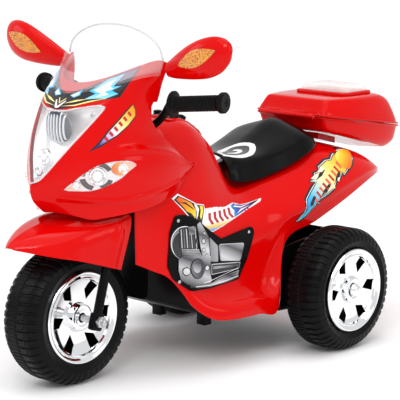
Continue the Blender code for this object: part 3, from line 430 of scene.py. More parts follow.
def cut(made, verts, faces, operation="DIFFERENCE"):
    """Boolean with a helper shape, applied at once; the helper is removed."""
    other = add(made.name + "_tool", verts, faces, None, body=None, smooth=0)
    step = made.modifiers.new("cut", "BOOLEAN")
    step.operation = operation
    step.solver = "EXACT"
    step.object = other
    bake(made)
    bpy.data.objects.remove(other, do_unlink=True)
    return made


def loops_solid(loops):
    """A closed solid through loops of equally many points, capped at both ends."""
    m = len(loops[0])
    verts = [p for loop in loops for p in loop]
    faces = []
    for i in range(len(loops) - 1):
        for j in range(m):
            k = (j + 1) % m
            faces.append((i * m + j, i * m + k, (i + 1) * m + k, (i + 1) * m + j))
    faces.append(tuple(range(m - 1, -1, -1)))
    faces.append(tuple((len(loops) - 1) * m + j for j in range(m)))
    return verts, faces


def turned(profile, centre, axis=(1, 0, 0), segments=96):
    """Solid of revolution of a closed (along, radius) outline; no point lies on the axis."""
    axis = Vector(axis).normalized()
    side = Vector((0, 0, -1)) if abs(axis.x) > .9 else axis.orthogonal().normalized()
    up = axis.cross(side)
    verts, faces = [], []
    m = len(profile)
    for k in range(segments):
        a = 2 * math.pi * k / segments
        out = side * math.cos(a) + up * math.sin(a)
        verts += [Vector(centre) + axis * x + out * r for x, r in profile]
    for k in range(segments):
        nxt = (k + 1) % segments
        for j in range(m):
            i = (j + 1) % m
            faces.append((k * m + j, k * m + i, nxt * m + i, nxt * m + j))
    return verts, faces


def circle_at(place, side, up, radius, segments):
    turns = [2 * math.pi * k / segments for k in range(segments)]
    return [place + (side * math.cos(a) + up * math.sin(a)) * radius for a in turns]


def rod(start, end, radius, segments=24):
    start, end = Vector(start), Vector(end)
    axis = (end - start).normalized()
    side = axis.orthogonal().normalized()
    up = axis.cross(side)
    return loops_solid([circle_at(place, side, up, radius, segments) for place in (start, end)])


def tube(points, radius, segments=20):
    loops = []
    for i, place in enumerate(points):
        along = (points[min(i + 1, len(points) - 1)] - points[max(i - 1, 0)]).normalized()
        side = along.cross(Vector((0, 1, 0))).normalized()
        loops.append(circle_at(place, side, along.cross(side), radius, segments))
    return loops_solid(loops)


def block(low, high, turn=None, centre=(0, 0, 0)):
    """A box between two corners, turned about its own origin and moved to a centre."""
    (x0, y0, z0), (x1, y1, z1) = low, high
    verts = [Vector(p) for p in ((x0, y0, z0), (x1, y0, z0), (x1, y1, z0), (x0, y1, z0), (x0, y0, z1),
        (x1, y0, z1), (x1, y1, z1), (x0, y1, z1))]
    if turn:
        verts = [turn @ v + Vector(centre) for v in verts]
    faces = [(3, 2, 1, 0), (4, 5, 6, 7), (0, 1, 5, 4), (1, 2, 6, 5), (2, 3, 7, 6), (3, 0, 4, 7)]
    return verts, faces


def prism(outline, axis, low, high):
    """A flat outline drawn out along an axis."""
    def point(a, b, c):
        return {0: (c, a, b), 1: (a, c, b), 2: (a, b, c)}[axis]
    return loops_solid([[point(a, b, low) for a, b in outline], [point(a, b, high) for a, b in outline]])


def steer(s, x=0.0, forward=0.0):
    """A point s up the raked steering direction from the front axle."""
    ahead = Vector((0, -math.cos(RAKE), math.sin(RAKE)))
    return FRONT_AXLE + STEER_DIR * s + Vector((x, 0, 0)) + ahead * forward


def tree_of(grid):
    verts, faces = sheet(grid)
    return BVHTree.FromPolygons([tuple(v) for v in verts], faces)


def inside(spot, outline):
    """Whether a flat point lies within an outline."""
    x, y = spot
    hit = False
    for (x0, y0), (x1, y1) in zip(outline, outline[1:] + outline[:1]):
        if (y0 > y) != (y1 > y) and x < (x1 - x0) * (y - y0) / (y1 - y0) + x0:
            hit = not hit
    return hit


def land(tree, axis, way, spot):
    """The point and outward normal met by a line along `axis`, coming from the side `way`."""
    ray, start = Vector((0, 0, 0)), Vector((0, 0, 0))
    ray[axis] = -way
    start[axis] = way * FAR
    others = [k for k in range(3) if k != axis]
    start[others[0]], start[others[1]] = spot
    place, normal = tree.ray_cast(start, ray)[:2]
    if place is None:
        place, normal = tree.find_nearest(start + ray * (FAR - .08))[:2]
    return place, -normal if normal.dot(ray) > 0 else normal


def face_out(made, axis, way):
    """Turns the faces towards the side `way` of the axis."""
    if sum(f.normal[axis] * f.area for f in made.data.polygons) * way < 0:
        made.data.flip_normals()


def sticker(name, outline, axis, way, tree, lift, look, body="frame", thick=0.0, cell=.004, smooth=40,
        replaces=(), steps=0, rim=0.0):
    """A flat outline laid on a surface: it is looked at along `axis` from the side `way` (+1 or -1)."""
    outline = [tuple(map(float, p)) for p in outline]
    if steps:
        outline = [tuple(p) for p in closed_curve(outline, steps)]
    xs, ys = [p[0] for p in outline], [p[1] for p in outline]
    spots = [Vector(p) for p in outline]
    a = min(xs) + cell / 2
    while a < max(xs):
        b = min(ys) + cell / 2
        while b < max(ys):
            if inside((a, b), outline) and min((Vector((a, b)) - s).length
                    for s in spots[:len(outline)]) > cell * .3:
                spots.append(Vector((a, b)))
            b += cell
        a += cell
    count = len(outline)
    edges = [(i, (i + 1) % count) for i in range(count)]
    flat, _, faces = delaunay_2d_cdt(spots, edges, [], 1, 1e-7)[:3]
    landed = [land(tree, axis, way, spot) for spot in flat]
    verts = [place + normal * lift for place, normal in landed]
    made = add(name, verts, [tuple(f) for f in faces], look, body=None, smooth=smooth)
    face_out(made, axis, way)
    if thick:
        thicken(made, thick, inward=False, rim=rim)
        bake(made, smooth)
    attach(made, body)
    if replaces:
        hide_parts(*replaces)
    return made


def shell(name, grid, look, wall, centre, body="frame", replaces=(), rim=.0008):
    """A moulded skin: a grid given a wall on the side of `centre` and a rounded rim."""
    verts, faces = sheet(grid)
    made = add(name, verts, faces, look, body, replaces, centre=centre)
    thicken(made, wall, rim=rim)
    return bake(made)


def oval(cx, cy, rx, ry, turn=0.0, count=32, start=0.0, end=360.0):
    out = []
    steps = count if end - start >= 360 else count + 1
    for k in range(steps):
        a = math.radians(start + (end - start) * k / count)
        x, y = rx * math.cos(a), ry * math.sin(a)
        out.append((cx + x * math.cos(turn) - y * math.sin(turn), cy + x * math.sin(turn)
            + y * math.cos(turn)))
    return out


def annulus_part(cx, cy, r0, r1, start, end, count=24):
    """A stretch of a flat ring between two radii."""
    return oval(cx, cy, r1, r1, 0, count, start, end) + oval(cx, cy, r0, r0, 0, count, start, end)[::-1]


# ---- red body shells ----
BODY = net(BODY_ROWS, 5, 3)
BODY_TREES = {side: tree_of(flip(BODY, side)) for side in (1, -1)}
FAIRING_HALF = net(FAIRING_ROWS, 12, 12)
RIDGES = ([(.08, .015, .329), (.0832, .0525, .3262), (.0872, .0914, .3222), (.0818, .1323, .3108),
    (.076, .1746, .2914)], [(.0284, -.0364, .2656), (.056, -.0054, .2612), (.076, .026, .259),
    (.088, .07, .264), (.086, .13, .274)])
for ridge, tall in zip(RIDGES, (.004, .0038)):
    line = curve_through(ridge, 8)
    for i in range(FAIRING_HALF.shape[0]):
        for j in range(FAIRING_HALF.shape[1]):
            gap = np.linalg.norm(line - FAIRING_HALF[i, j], axis=1).min()
            push = Vector((1, -.35, .1)).normalized() * tall * math.exp(-(gap / .0042) ** 2)
            FAIRING_HALF[i, j] += np.array(push) * min(1.0, FAIRING_HALF[i, j, 0] / .02)
FAIRING_TREES = {side: tree_of(flip(FAIRING_HALF, side)) for side in (1, -1)}
FAIRING_TREE = tree_of(mirrored(FAIRING_HALF))


def body_shell(side, word):
    """Half of the body, trimmed to the seam along its middle."""
    made = shell("body_shell_" + word, flip(BODY, side), red(), WALL, (0, .25, .12),
        replaces=["body_half_" + word], rim=.0007)
    low, high = sorted((side * .0005, side * -.02))
    cut(made, *block((low, .05, .15), (high, .7, .4)))
    drilled(made, ["music_button" if side > 0 else "horn_button"])


def drilled(made, buttons=("horn_button", "music_button"), clearance=.0006):
    """Round holes that the push buttons move down into."""
    for name in buttons:
        spot = middle(name)
        radius = (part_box(name)[1][0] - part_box(name)[0][0]) / 2 + clearance
        cut(made, *rod((spot.x, spot.y - FRONT_Y, .3), (spot.x, spot.y - FRONT_Y, .4), radius, 32))
    return made


def bonnet_shell():
    """The fairing with its headlight opening and the small slots its rear edge leaves for the bar."""
    verts, faces = sheet(mirrored(FAIRING_HALF))
    made = add("fairing_shell", verts, faces, red(), "frame", ["front_fairing"], centre=(0, .09, .33))
    bake(thicken(made, WALL))
    cut(made, *prism(headlight_edge(4), 1, -.1, .045))
    for side in (1, -1):
        low, high = sorted((side * .055, side * .115))
        cut(made, *prism(BAR_SLOT, 0, low, high))
    rounding(made, .0008, 2, 50)
    bake(made)


def headlight_edge(steps):
    """Outline of the headlight opening, with that many steps between the points of its rounded sides."""
    half = [tuple(p) for p in curve_through(HEADLIGHT_OUTLINE[:7], steps)] + HEADLIGHT_OUTLINE[7:]
    return half + [(-x, z) for x, z in reversed(half) if x > 0]


def around(outline, amount):
    """The outline moved in towards its centre by about `amount` (out if negative)."""
    pts = np.array(outline)
    centre = pts.mean(axis=0)
    away = pts - centre
    size = np.linalg.norm(away, axis=1, keepdims=True)
    return [tuple(p) for p in centre + away * (size - amount) / size]


def fairing_front(x, z):
    return FAIRING_TREE.ray_cast(Vector((x, -.3, z)), Vector((0, 1, 0)))[0].y


# ---- headlight ----
def headlight():
    """Silvered bowl with a ribbed projector, two round lamps and their clear lens."""
    edge = headlight_edge(3)
    rows = []
    for depth, scale in ((0.0, .975), (.006, .93), (.013, .84), (.019, .7), (.022, .5)):
        loop = [(x * scale, .345 + (z - .345) * scale) for x, z in edge]
        rows.append([(x, fairing_front(x, z) + .0075 + depth, z) for x, z in loop])
    verts, faces = loops_solid(rows)
    bowl = material("lamp_silver", (.9, .9, .93), .22, .35, grain=.3, size=150, shift=.16)
    made = add("headlight_bowl", verts, faces[:-2] + [faces[-1]], bowl, None, centre=(0, .3, .345))
    thicken(made, .0014, False, even=False)
    bake(made)
    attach(made, "frame")
    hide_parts("headlight_reflector")
    back = fairing_front(0, .357) + .0185
    for k in range(7):
        x = (k - 3) * .0056
        height = .0235 * math.sqrt(max(.2, 1 - (x / .024) ** 2))
        loops = []
        for t in range(13):
            a = math.pi * t / 12
            z = .357 - height * math.cos(a)
            y = back - .004 - .0075 * math.sin(a) * math.sqrt(max(.1, 1 - (x / .028) ** 2))
            loops.append([(x + .0011 * math.cos(c), y + .0016 * math.sin(c), z)
                for c in (2 * math.pi * n / 8 for n in range(8))])
        add("projector_rib_%d" % k, *loops_solid(loops), material("lamp_rib", (.8, .83, .88), .15, .2,
            shift=.1), "frame")
    dark = material("lamp_shade", (.06, .065, .09), .22, .2, shift=.3)
    add("projector_back", *turned([(0, .0008), (0, .0215), (.004, .0225), (.006, .02), (.006, .0008)],
        (0, back, .357), (0, -1, -.25), 48), dark, "frame")
    add("headlight_globe", *turned([(-.006, .0012), (-.006, .006), (-.002, .0078), (.003, .0078),
        (.006, .0045), (.006, .0012)], (0, -.0125, .35), (0, -1, -.25), 32), material("globe",
        (.95, .96, .98), .05, alpha=.12, shift=.02), "frame", ["headlight_bulb"])
    for k, (x, z, r) in enumerate(((0, .318, .0115), (0, .2985, .0075))):
        y = fairing_front(x, z)
        ring = [(0, r * .55), (0, r), (.004, r), (.0058, r * .82), (.003, r * .55)]
        add("lamp_ring_%d" % k, *turned(ring, (x, y + .0125, z), (0, -1, .15), 40), chrome(), "frame")
        ball = [(0.0, .0004), (0, r * .54), (.003, r * .48), (.005, r * .25), (.0055, .0004)]
        add("lamp_ball_%d" % k, *turned(ball, (x, y + .012, z), (0, -1, .15), 32), white_print(), "frame")
    for k, (x, z) in enumerate(((.047, .374), (-.047, .374), (.0125, .297), (-.0125, .297))):
        y = fairing_front(x, z) + .0118
        add("lamp_screw_%d" % k, *turned([(0, .0004), (0, .003), (.0015, .0024), (.002, .0004)], (x, y, z),
            (0, -1, 0), 20), steel(), "frame")
    sticker("headlight_lens_clear", around(edge, .0007), 1, -1, FAIRING_TREE, -.0022, clear(), "frame",
        .0016, .006, replaces=["headlight_lens"])
    outer, inner = around(edge, .0009), around(edge, .003)
    band = material("lens_rim", (.93, .86, .88), .08, shift=.03, alpha=.35)
    ribbon("headlight_rim", outer, inner, FAIRING_TREE, 1, -1, -.0003, band, "frame", .0012)


def ribbon(name, outer, inner, tree, axis, way, lift, look, body, thick):
    """A band between two outlines with the same number of points, laid on a surface."""
    verts = []
    for p, q in zip(outer, inner):
        for t in (0, .5, 1):
            place, normal = land(tree, axis, way, (p[0] + (q[0] - p[0]) * t, p[1] + (q[1] - p[1]) * t))
            verts.append(place + normal * lift)
    count = len(outer)
    faces = []
    for i in range(count):
        j = (i + 1) % count
        for t in (0, 1):
            faces.append((i * 3 + t, i * 3 + t + 1, j * 3 + t + 1, j * 3 + t))
    made = add(name, verts, faces, look, None)
    face_out(made, axis, way)
    bake(thicken(made, thick, inward=False))
    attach(made, body)
    return made


# ---- side lamps: a clear teardrop over a chrome round lamp with two small ones ----
def side_lamp(side, word):
    tree = FAIRING_TREES[side]
    edge = [tuple(p) for p in closed_curve(LAMP, 2)]
    base = material("lamp_back", (.62, .63, .66), .22, .75, coat=.6, shift=.15)
    sticker("side_lamp_back_" + word, around(edge, .0006), 0, side, tree, .0003, base, "frame", .0004, .005)
    tint = gradient("lamp_tips", (0, -.036, .277), (0, .048, .307), [(0, (.95, .36, .18)),
        (.2, (.8, .7, .7)), (.62, (.74, .74, .77)), (1, (.95, .4, .26))], .2, .2)
    sticker("side_lamp_tint_" + word, around(edge, .0022), 0, side, tree, .0008, tint, "frame", 0, .005)
    dark = material("lamp_brown", (.03, .008, .01), .2, coat=.6, shift=.2)
    for k, (start, end) in enumerate(((25, 85), (120, 178), (190, 255), (280, 340))):
        arc = annulus_part(-.0033, .295, .0132, .0192, start, end, 8)
        sticker("side_lamp_brown_%d_%s" % (k, word), clipped(arc, edge), 0, side, tree, .0011, dark,
            "frame", 0, .003)
    amber = gradient("lamp_amber", (0, .015, .303), (0, .036, .303), [(0, (.75, .14, .01)),
        (.6, (1, .38, .05)), (1, (.9, .6, .4))], .2)
    sticker("side_lamp_amber_" + word, oval(.025, .3035, .0118, .0088), 0, side, tree, .0012, amber,
        "frame", 0, .003)
    for k, (y, z, r) in enumerate(((-.0033, .2952, .0122), (.0275, .3033, .0078), (-.025, .2845, .0058))):
        place, normal = land(tree, 0, side, (y, z))
        ring = [(-.001, r * .66), (-.001, r), (.0018, r), (.0034, r * .9), (.0026, r * .74),
            (.0008, r * .66)]
        add("side_lamp_ring_%d_%s" % (k, word), *turned(ring, place, normal, 48), chrome(), "frame")
        face = [(.0004, .0004), (.0004, r * .72), (.0016, r * .62), (.0012, r * .34), (.0026, r * .26),
            (.0034, .0004)]
        glow = material("lamp_white", (.9, .88, .86), .15, coat=.8, shift=.05)
        add("side_lamp_face_%d_%s" % (k, word), *turned(face, place, normal, 40), glow, "frame")
        for n in range(12 if k == 0 else 0):
            a = 2 * math.pi * n / 12
            out = normal.orthogonal().normalized()
            across = normal.cross(out)
            spot = place + (out * math.cos(a) + across * math.sin(a)) * r * .6 + normal * .0018
            add("side_lamp_facet_%d_%s" % (n, word), *rod(spot, spot + normal * .0006, r * .1, 10),
                steel(), "frame")
    glass = material("lamp_glass", (.97, .93, .92), .03, coat=.5, shift=.02, alpha=.09)
    made = dome_cover("side_lamp_glass_" + word, around(edge, .0002), 0, side, tree, .0006, .0042, glass)
    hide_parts("side_lamp_" + word)


def clipped(outline, edge):
    """The outline with the points outside `edge` pulled in towards its middle."""
    centre = Vector(np.mean(np.array(edge), axis=0))
    out = []
    for p in outline:
        q = Vector(p)
        for _ in range(12):
            if inside(tuple(q), edge):
                break
            q = q + (centre - q) * .08
        out.append(tuple(q))
    return out


def dome_cover(name, outline, axis, way, tree, low, high, look, cell=.004):
    """A clear cover standing on the outline, swelling from `low` at the edge to `high` inside."""
    made = sticker(name, outline, axis, way, tree, low, look, "frame", 0, cell)
    spots = [Vector(p) for p in outline]
    others = [k for k in range(3) if k != axis]
    for v in made.data.vertices:
        spot = Vector((v.co[others[0]], v.co[others[1]]))
        if axis == 0:
            spot.x -= FRONT_Y
        near = min((spot - s).length for s in spots)
        near = min(1.0, near / .01)
        v.co += v.normal * (high - low) * math.sqrt(max(0.0, near * (2 - near)))
    made.data.update()
    return made


# ---- windscreen ----
def windscreen():
    low, edge = np.array(FAIRING_ROWS[7][:9]), np.array(FAIRING_ROWS[8][:9])
    out = np.array((0, -.62, .78))
    rows = []
    for base in (low, edge):
        flare = np.array([(min(1, p[0] / .07), 0, 0) for p in base])
        rows.append(base + out * .0018 + flare * .0014)
    span = rows[1][-1]
    for s in (.33, .67, 1.0):
        row = []
        for p in rows[1]:
            turn = math.asin(min(1.0, p[0] / span[0])) if p[0] > 0 else 0.0
            arch = np.array((span[0] * math.sin(turn), .094 + .003 * math.sin(turn), span[2]
                + (.4885 - span[2]) * math.cos(turn)))
            row.append(p * (1 - s) + arch * s + out * .052 * s * (1 - s) * math.cos(turn))
        rows.append(row)
    grid = mirrored(net(rows, 5, 6))
    glass = material("screen_glass", (.93, .95, .97), .04, shift=.01, alpha=.06, specular=.5)
    verts, faces = sheet(grid)
    made = add("windscreen_glass", verts, faces, glass, "frame", ["windscreen"], centre=(0, .12, .4))
    thicken(made, .0012, False, even=False)
    bake(made)
    rim = material("glass_rim", (.62, .64, .67), .08, shift=.02, alpha=.55)
    top = [Vector(p) for p in grid[-1]]
    add("windscreen_rim", *tube([Vector((p.x, p.y + .0002, p.z - .0006)) for p in top], .0013, 12), rim,
        "frame")
    haze = material("glass_haze", (.9, .8, .82), .25, shift=.05, alpha=.2)
    band = grid[1:9]
    verts, faces = sheet(band + out * .0016)
    add("windscreen_band", verts, faces, haze, "frame")


# ---- mirrors ----
def mirror(side, word):
    rings = curve_through(np.array(MIRROR_RINGS), 5)
    lean = math.radians(17)
    loops = []
    for x, y, z, tall, deep in rings:
        loop = []
        for k in range(40):
            a = 2 * math.pi * k / 40
            front = math.cos(a)
            depth = -deep * front if front > 0 else min(.0085, deep) * -front
            up = math.sin(a) * tall
            loop.append((side * (x - math.sin(lean) * up), y + depth, z + math.cos(lean) * up))
        loops.append(loop)
    verts, faces = loops_solid(loops)
    made = add("mirror_case_" + word, verts, faces, red(), "frame", ["mirror_shell_" + word], 60)
    tree = BVHTree.FromPolygons([tuple(map(float, v)) for v in verts], faces)
    turn = math.radians(20) * side
    leaf = []
    for k in range(36):
        a = 2 * math.pi * k / 36
        u, w = .035 * math.cos(a), .0112 * math.sin(a) * (1 - .6 * math.cos(a) ** 2)
        leaf.append((side * .168 + u * math.cos(turn) - w * math.sin(turn), .453 + u * math.sin(turn)
            + w * math.cos(turn)))
    sticker("mirror_cell_" + word, leaf, 1, -1, tree, .0007, honeycomb(), "frame", 0, .003)
    ring = []
    for k in range(48):
        a = 2 * math.pi * k / 48
        along, up = .033 * math.cos(a), .0195 * math.sin(a)
        ring.append((side * (.17 + math.cos(lean) * along - math.sin(lean) * up), .4515
            + math.sin(lean) * along + math.cos(lean) * up))
    add("mirror_face_" + word, *prism(ring, 1, .101, .1026), material("mirror", (.85, .87, .9), .02, 1.0,
        shift=.01), "frame", ["mirror_glass_" + word])


# ---- fender and fork ----
def fender():
    """Front mudguard with a low crease above each fork leg."""
    grid = net(FENDER_ROWS, 8, 8)
    half = grid.copy()
    for i in range(grid.shape[0]):
        for j in range(grid.shape[1]):
            p = Vector(grid[i, j])
            if p.x > .045:
                flat = p - FRONT_AXLE
                ahead = flat.dot(Vector((0, -math.cos(RAKE), math.sin(RAKE))))
                half[i, j, 0] += .0035 * math.exp(-(ahead / .0075) ** 2) * min(1, (p.x - .045) / .015)
    both = np.concatenate([flip(half[:0:-1], -1), half], axis=0)
    made = shell("fender_shell", both, red(), .002, (0, 0, .15), "steering", ["front_fender"], .0007)
    cut(made, *rod(steer(.1), steer(.2), .0102, 40))


def fork():
    """Legs with their feet, nuts and axle, and the crown with its stem."""
    for side, word in SIDES:
        x = side * LEG_X
        made = add("fork_tube_" + word, *rod(steer(-.006, x), steer(.1116, x), .0065, 32), black(),
            "steering", ["fork_leg_" + word])
        turn = Matrix.Rotation(-RAKE, 3, "X")
        foot = add("fork_foot_" + word, *block((-.0062, -.009, -.013), (.0062, .009, .011), turn,
            steer(0, x)), black(), "steering")
        bake(rounding(foot, .003, 4))
        inner = x + side * .0067
        nut = add("axle_nut_" + word, *rod((inner, 0, FRONT_R), (inner + side * .0065, 0, FRONT_R), .0085,
            6), steel(), "steering", ["front_axle_nut_" + word])
        bake(rounding(nut, .0008, 2))
        end = inner + side * .0065
        add("axle_end_" + word, *turned([(0, .0004), (0, .0046), (.004, .0046), (.0052, .003),
            (.0056, .0004)], (end, 0, FRONT_R), (side, 0, 0), 24), steel(), "steering")
    turn = Matrix.Rotation(-RAKE, 3, "X")
    crown = add("crown_bar", *block((-.063, -.013, -.006), (.063, .013, .006), turn, steer(.118)), black(),
        "steering", ["fork_crown"])
    bake(rounding(crown, .004, 4))
    add("stem_tube", *rod(steer(.12), steer(.238), .009, 32), steel(), "steering")
    add("axle_rod", *rod((-.0735, 0, FRONT_R), (.0735, 0, FRONT_R), .005, 32), steel(), "steering",
        ["front_axle"])


# ---- handlebar ----
GRIP_INNER = Vector((.099, .107, .384))
GRIP_OUTER = Vector((.179, .1267, .391))


def handlebar():
    """A tube that rises from the clamp, passes through the fairing's slots and carries the grips."""
    along = (GRIP_OUTER - GRIP_INNER).normalized()
    rise = [(0, .0694, .3365), (.013, .0694, .3365), (.036, .0835, .34), (.052, .0985, .346),
        (.066, .107, .354), (.082, .108, .368)]
    curved = [Vector(p) for p in curve_through(rise + [tuple(GRIP_INNER - along * .004)], 8)]
    half = curved + [GRIP_INNER + along * .004, GRIP_OUTER - along * .01]
    points = [Vector((-p.x, p.y, p.z)) for p in reversed(half[1:])] + half
    add("bar_tube", *tube(points, .0055, 32), black(), "steering", ["handlebar"], 50)
    turn = Matrix.Rotation(-RAKE, 3, "X")
    clamp = add("bar_clamp", *block((-.0105, -.014, .2384), (.0105, .014, .268), turn, FRONT_AXLE),
        black(), "steering", ["handlebar_clamp"])
    bake(rounding(clamp, .004, 4))


def grip(side, word):
    """Ribbed sleeve with a flange at each end."""
    inner = Vector((side * GRIP_INNER.x, GRIP_INNER.y, GRIP_INNER.z))
    outer = Vector((side * GRIP_OUTER.x, GRIP_OUTER.y, GRIP_OUTER.z))
    length = (outer - inner).length
    line = [(0, .0063), (0, .0175), (.0006, .0183), (.003, .0183), (.0036, .0175), (.004, .0125),
        (.006, .0112)]
    ribs = 13
    start, end = .007, length - .0095
    for k in range(ribs):
        a = start + (end - start) * k / ribs
        w = (end - start) / ribs
        line += [(a, .01), (a + w * .18, .0111), (a + w * .55, .0111), (a + w * .72, .01)]
    line += [(length - .0085, .0112), (length - .0075, .014), (length - .0066, .0145),
        (length - .0015, .0143), (length, .013), (length, .006), (length - .0012, .0045),
        (length - .0012, .0012), (length - .004, .0012), (length - .004, .0063)]
    made = add("grip_rubber_" + word, *turned(line, inner, outer - inner, 64), rubbery(), "steering",
        ["grip_" + word], 35)


# ---- wheels ----
RIBS = 98                                        # fine ribs round a tyre; two to a lug
RIB_STEPS, LUG_STEPS = 6, 12                     # vertices round one rib and one lug
GROOVE_CUT, LUG_CUT, RIB_CUT, SHOULDER_CUT, RING_CUT = .0016, .0021, .0012, .002, .0009


def tread_depth(k, u):
    """How deep the tread is cut at step k round the tyre and u across it (-1 inner, 1 outer edge)."""
    if abs(u) < .035:
        return GROOVE_CUT
    if u > 0:
        slant = ((k + int(u * 3)) % LUG_STEPS) / LUG_STEPS
        return max(LUG_CUT if slant < .3 else 0, RING_CUT if .44 < u < .47 else 0)
    if u > -.56:
        return RIB_CUT if (k % RIB_STEPS) / RIB_STEPS < .45 else 0
    return SHOULDER_CUT if (k % LUG_STEPS) / LUG_STEPS < .3 else 0


def tread(name, centre, radius, half, side, body):
    """Tyre: coarse lugs on the outer half, fine ribs on the inner half, a groove between them."""
    rim = radius * .69
    bead = [(half * .93, radius * .745), (half * .86, rim)]
    cross = [(-x, r) for x, r in reversed(bead)]
    for k in range(61):
        x = -half + 2 * half * k / 60
        t = abs(x) / half
        if t < .5:
            r = radius
        elif t < .93:
            r = radius - (radius * .085) * ((t - .5) / .43) ** 1.9
        else:
            r = radius * .915 - radius * .115 * ((t - .93) / .07)
        cross.append((x, r))
    cross += bead
    count = RIBS * RIB_STEPS
    verts = []
    for k in range(count):
        a = 2 * math.pi * k / count
        for x, r in cross:
            depth = tread_depth(k, x * side / half) if r > radius * .84 else 0
            rr = r - .0003 - depth
            verts.append((centre[0] + x, centre[1] + math.sin(a) * rr, centre[2] - math.cos(a) * rr))
    m = len(cross)
    faces = []
    for k in range(count):
        n = (k + 1) % count
        for j in range(m - 1):
            faces.append((k * m + j, k * m + j + 1, n * m + j + 1, n * m + j))
    made = add(name, verts, faces, tyre(), None, smooth=28, centre=centre)
    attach(made, body)
    return made


def hub(name, centre, radius, half, side, body):
    """Black moulding behind the cap: the sidewall lip, its well and the hub."""
    rim = radius * .69
    line = [(half * .86, rim + .0005), (half * .86 - .0035, rim - .001), (half * .3, rim - .002),
        (half * .28, .022), (half * .62, .019), (half * .62, .0062),
        (half * .2, .0062), (half * .2, rim - .0005)]
    add(name, *turned(line, centre, (side, 0, 0), 96), black(), body)


def wheel_cap(name, centre, radius, side, body, offset, nodes, deep, length):
    """Chrome cap: flange, groove, dished face with six kite windows, and a boss round the axle."""
    rim = radius * .685
    face = [(offset + .001, rim), (offset + .0026, rim - .0004), (offset + .004, rim - .0022),
        (offset + .0038, rim - .0042), (offset + .0022, rim - .0062), (offset + .0005, rim - .0085),
        (offset + .0016, rim - .01), (offset + .001, rim - .0114), (offset - .002, rim - .0128),
        (offset - .003 - deep * .3, rim - .02), (offset - .003 - deep, .0225),
        (offset - .0026 - deep, .0205), (offset + .0004, .0185), (offset + .0012, .017),
        (offset + .0012, .0125), (offset + .0004, .011), (offset + .0004, .007)]
    wall = .0009
    outline = face + [(x - wall, r) for x, r in reversed(face)]
    made = add(name, *turned(outline, centre, (side, 0, 0), 120), chrome(), None, smooth=30)
    for k in range(6):
        a = 2 * math.pi * k / 6
        kite = rounded([(rim - .0148, -.0082), (rim - .0128, .0084), (rim - length * .72, .0096),
            (rim - length, -.0022)], .0009)
        pts = [(centre[1] + u * math.cos(a) - v * math.sin(a), centre[2] + u * math.sin(a)
            + v * math.cos(a)) for u, v in kite]
        ends = sorted((centre[0] + side * (offset - .02), centre[0] + side * (offset + .02)))
        cut(made, *prism(pts, 0, *ends))
    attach(made, body)
    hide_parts(*nodes)
    return made


def rounded(points, radius, steps=4):
    """A polygon with its corners replaced by small arcs."""
    out = []
    count = len(points)
    for i in range(count):
        a, b, c = (Vector(points[(i + k) % count]) for k in (-1, 0, 1))
        start, end = b + (a - b).normalized() * radius, b + (c - b).normalized() * radius
        for k in range(steps + 1):
            t = k / steps
            out.append(tuple(start * (1 - t) ** 2 + b * 2 * t * (1 - t) + end * t * t))
    return out


def wheels():
    tread("front_tyre", FRONT_AXLE, FRONT_R, TYRE_HALF, 1, "front_wheel_set")
    for side, word in SIDES:
        hub("front_hub_" + word, FRONT_AXLE, FRONT_R, TYRE_HALF, side, "front_wheel_set")
        wheel_cap("front_cap_" + word, FRONT_AXLE, FRONT_R, side, "front_wheel_set", TYRE_HALF * .86,
            ["front_wheel_cap_" + word], .006, .0385)
        centre = Vector((side * REAR_X, REAR_AXLE.y, REAR_AXLE.z))
        body = "rear_wheel_set_" + word
        half = TYRE_HALF * .94
        tread("rear_tyre_" + word, centre, REAR_R, half, side, body)
        hub("rear_hub_" + word, centre, REAR_R, half, side, body)
        wheel_cap("rear_cap_" + word, centre, REAR_R, side, body, TYRE_HALF * .86,
            ["rear_wheel_cap_" + word], .003, .034)
        back = [(-half * .86, REAR_R * .69 + .0005), (-half * .8, REAR_R * .69),
            (-half * .3, REAR_R * .64), (-half * .28, .022), (-.028, .02), (-.028, .0062),
            (-half * .2, .0062), (-half * .2, REAR_R * .66), (-half * .75, REAR_R * .715)]
        add("rear_back_" + word, *turned(back, centre, (side, 0, 0), 72), black(), body,
            ["rear_wheel_" + word])
        dome = [(0, .0005), (0, .0096), (.0008, .0104), (.0035, .0098), (.0062, .0078), (.008, .0046),
            (.0084, .0005)]
        add("axle_dome_" + word, *turned(dome, centre + Vector((side * .0312, 0, 0)), (side, 0, 0), 48),
            chrome(), "frame", ["rear_axle_cap_" + word])
    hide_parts("front_wheel")


# ---- saddle ----
SEAT = np.swapaxes(net(SEAT_ROWS, 6, 5), 0, 1)
SEAT_TREE = tree_of(mirrored(SEAT))


def saddle():
    """One glossy shell with a white flame curled round itself."""
    look = material("seat_black", (.002, .002, .0025), .22, shift=.15, specular=.1)
    made = shell("seat_shell", mirrored(SEAT), look, .003, (0, .36, .22), replaces=["seat"], rim=.001)
    flame = [(.0309, .2744), (.006, .3), (-.0068, .3346), (.0009, .3557), (.0235, .3638), (.045, .3391),
        (.0505, .3144), (.0467, .2894), (.0344, .2744)]
    sticker("seat_flame", flame, 2, 1, SEAT_TREE, .0004, white_print(), cell=.005, steps=3)
    hole = [(.029, .286), (.012, .31), (.003, .333), (.008, .348), (.0215, .3535), (.036, .335),
        (.04, .313), (.038, .293)]
    sticker("seat_flame_inner", hole, 2, 1, SEAT_TREE, .0008, black_print(), cell=.005, steps=3)
    curl = [(.033, .292), (.035, .312), (.03, .329), (.0205, .336), (.014, .331), (.0165, .3225),
        (.0225, .3265), (.0265, .318), (.027, .302)]
    sticker("seat_flame_curl", curl, 2, 1, SEAT_TREE, .0012, white_print(), cell=.004, steps=3)


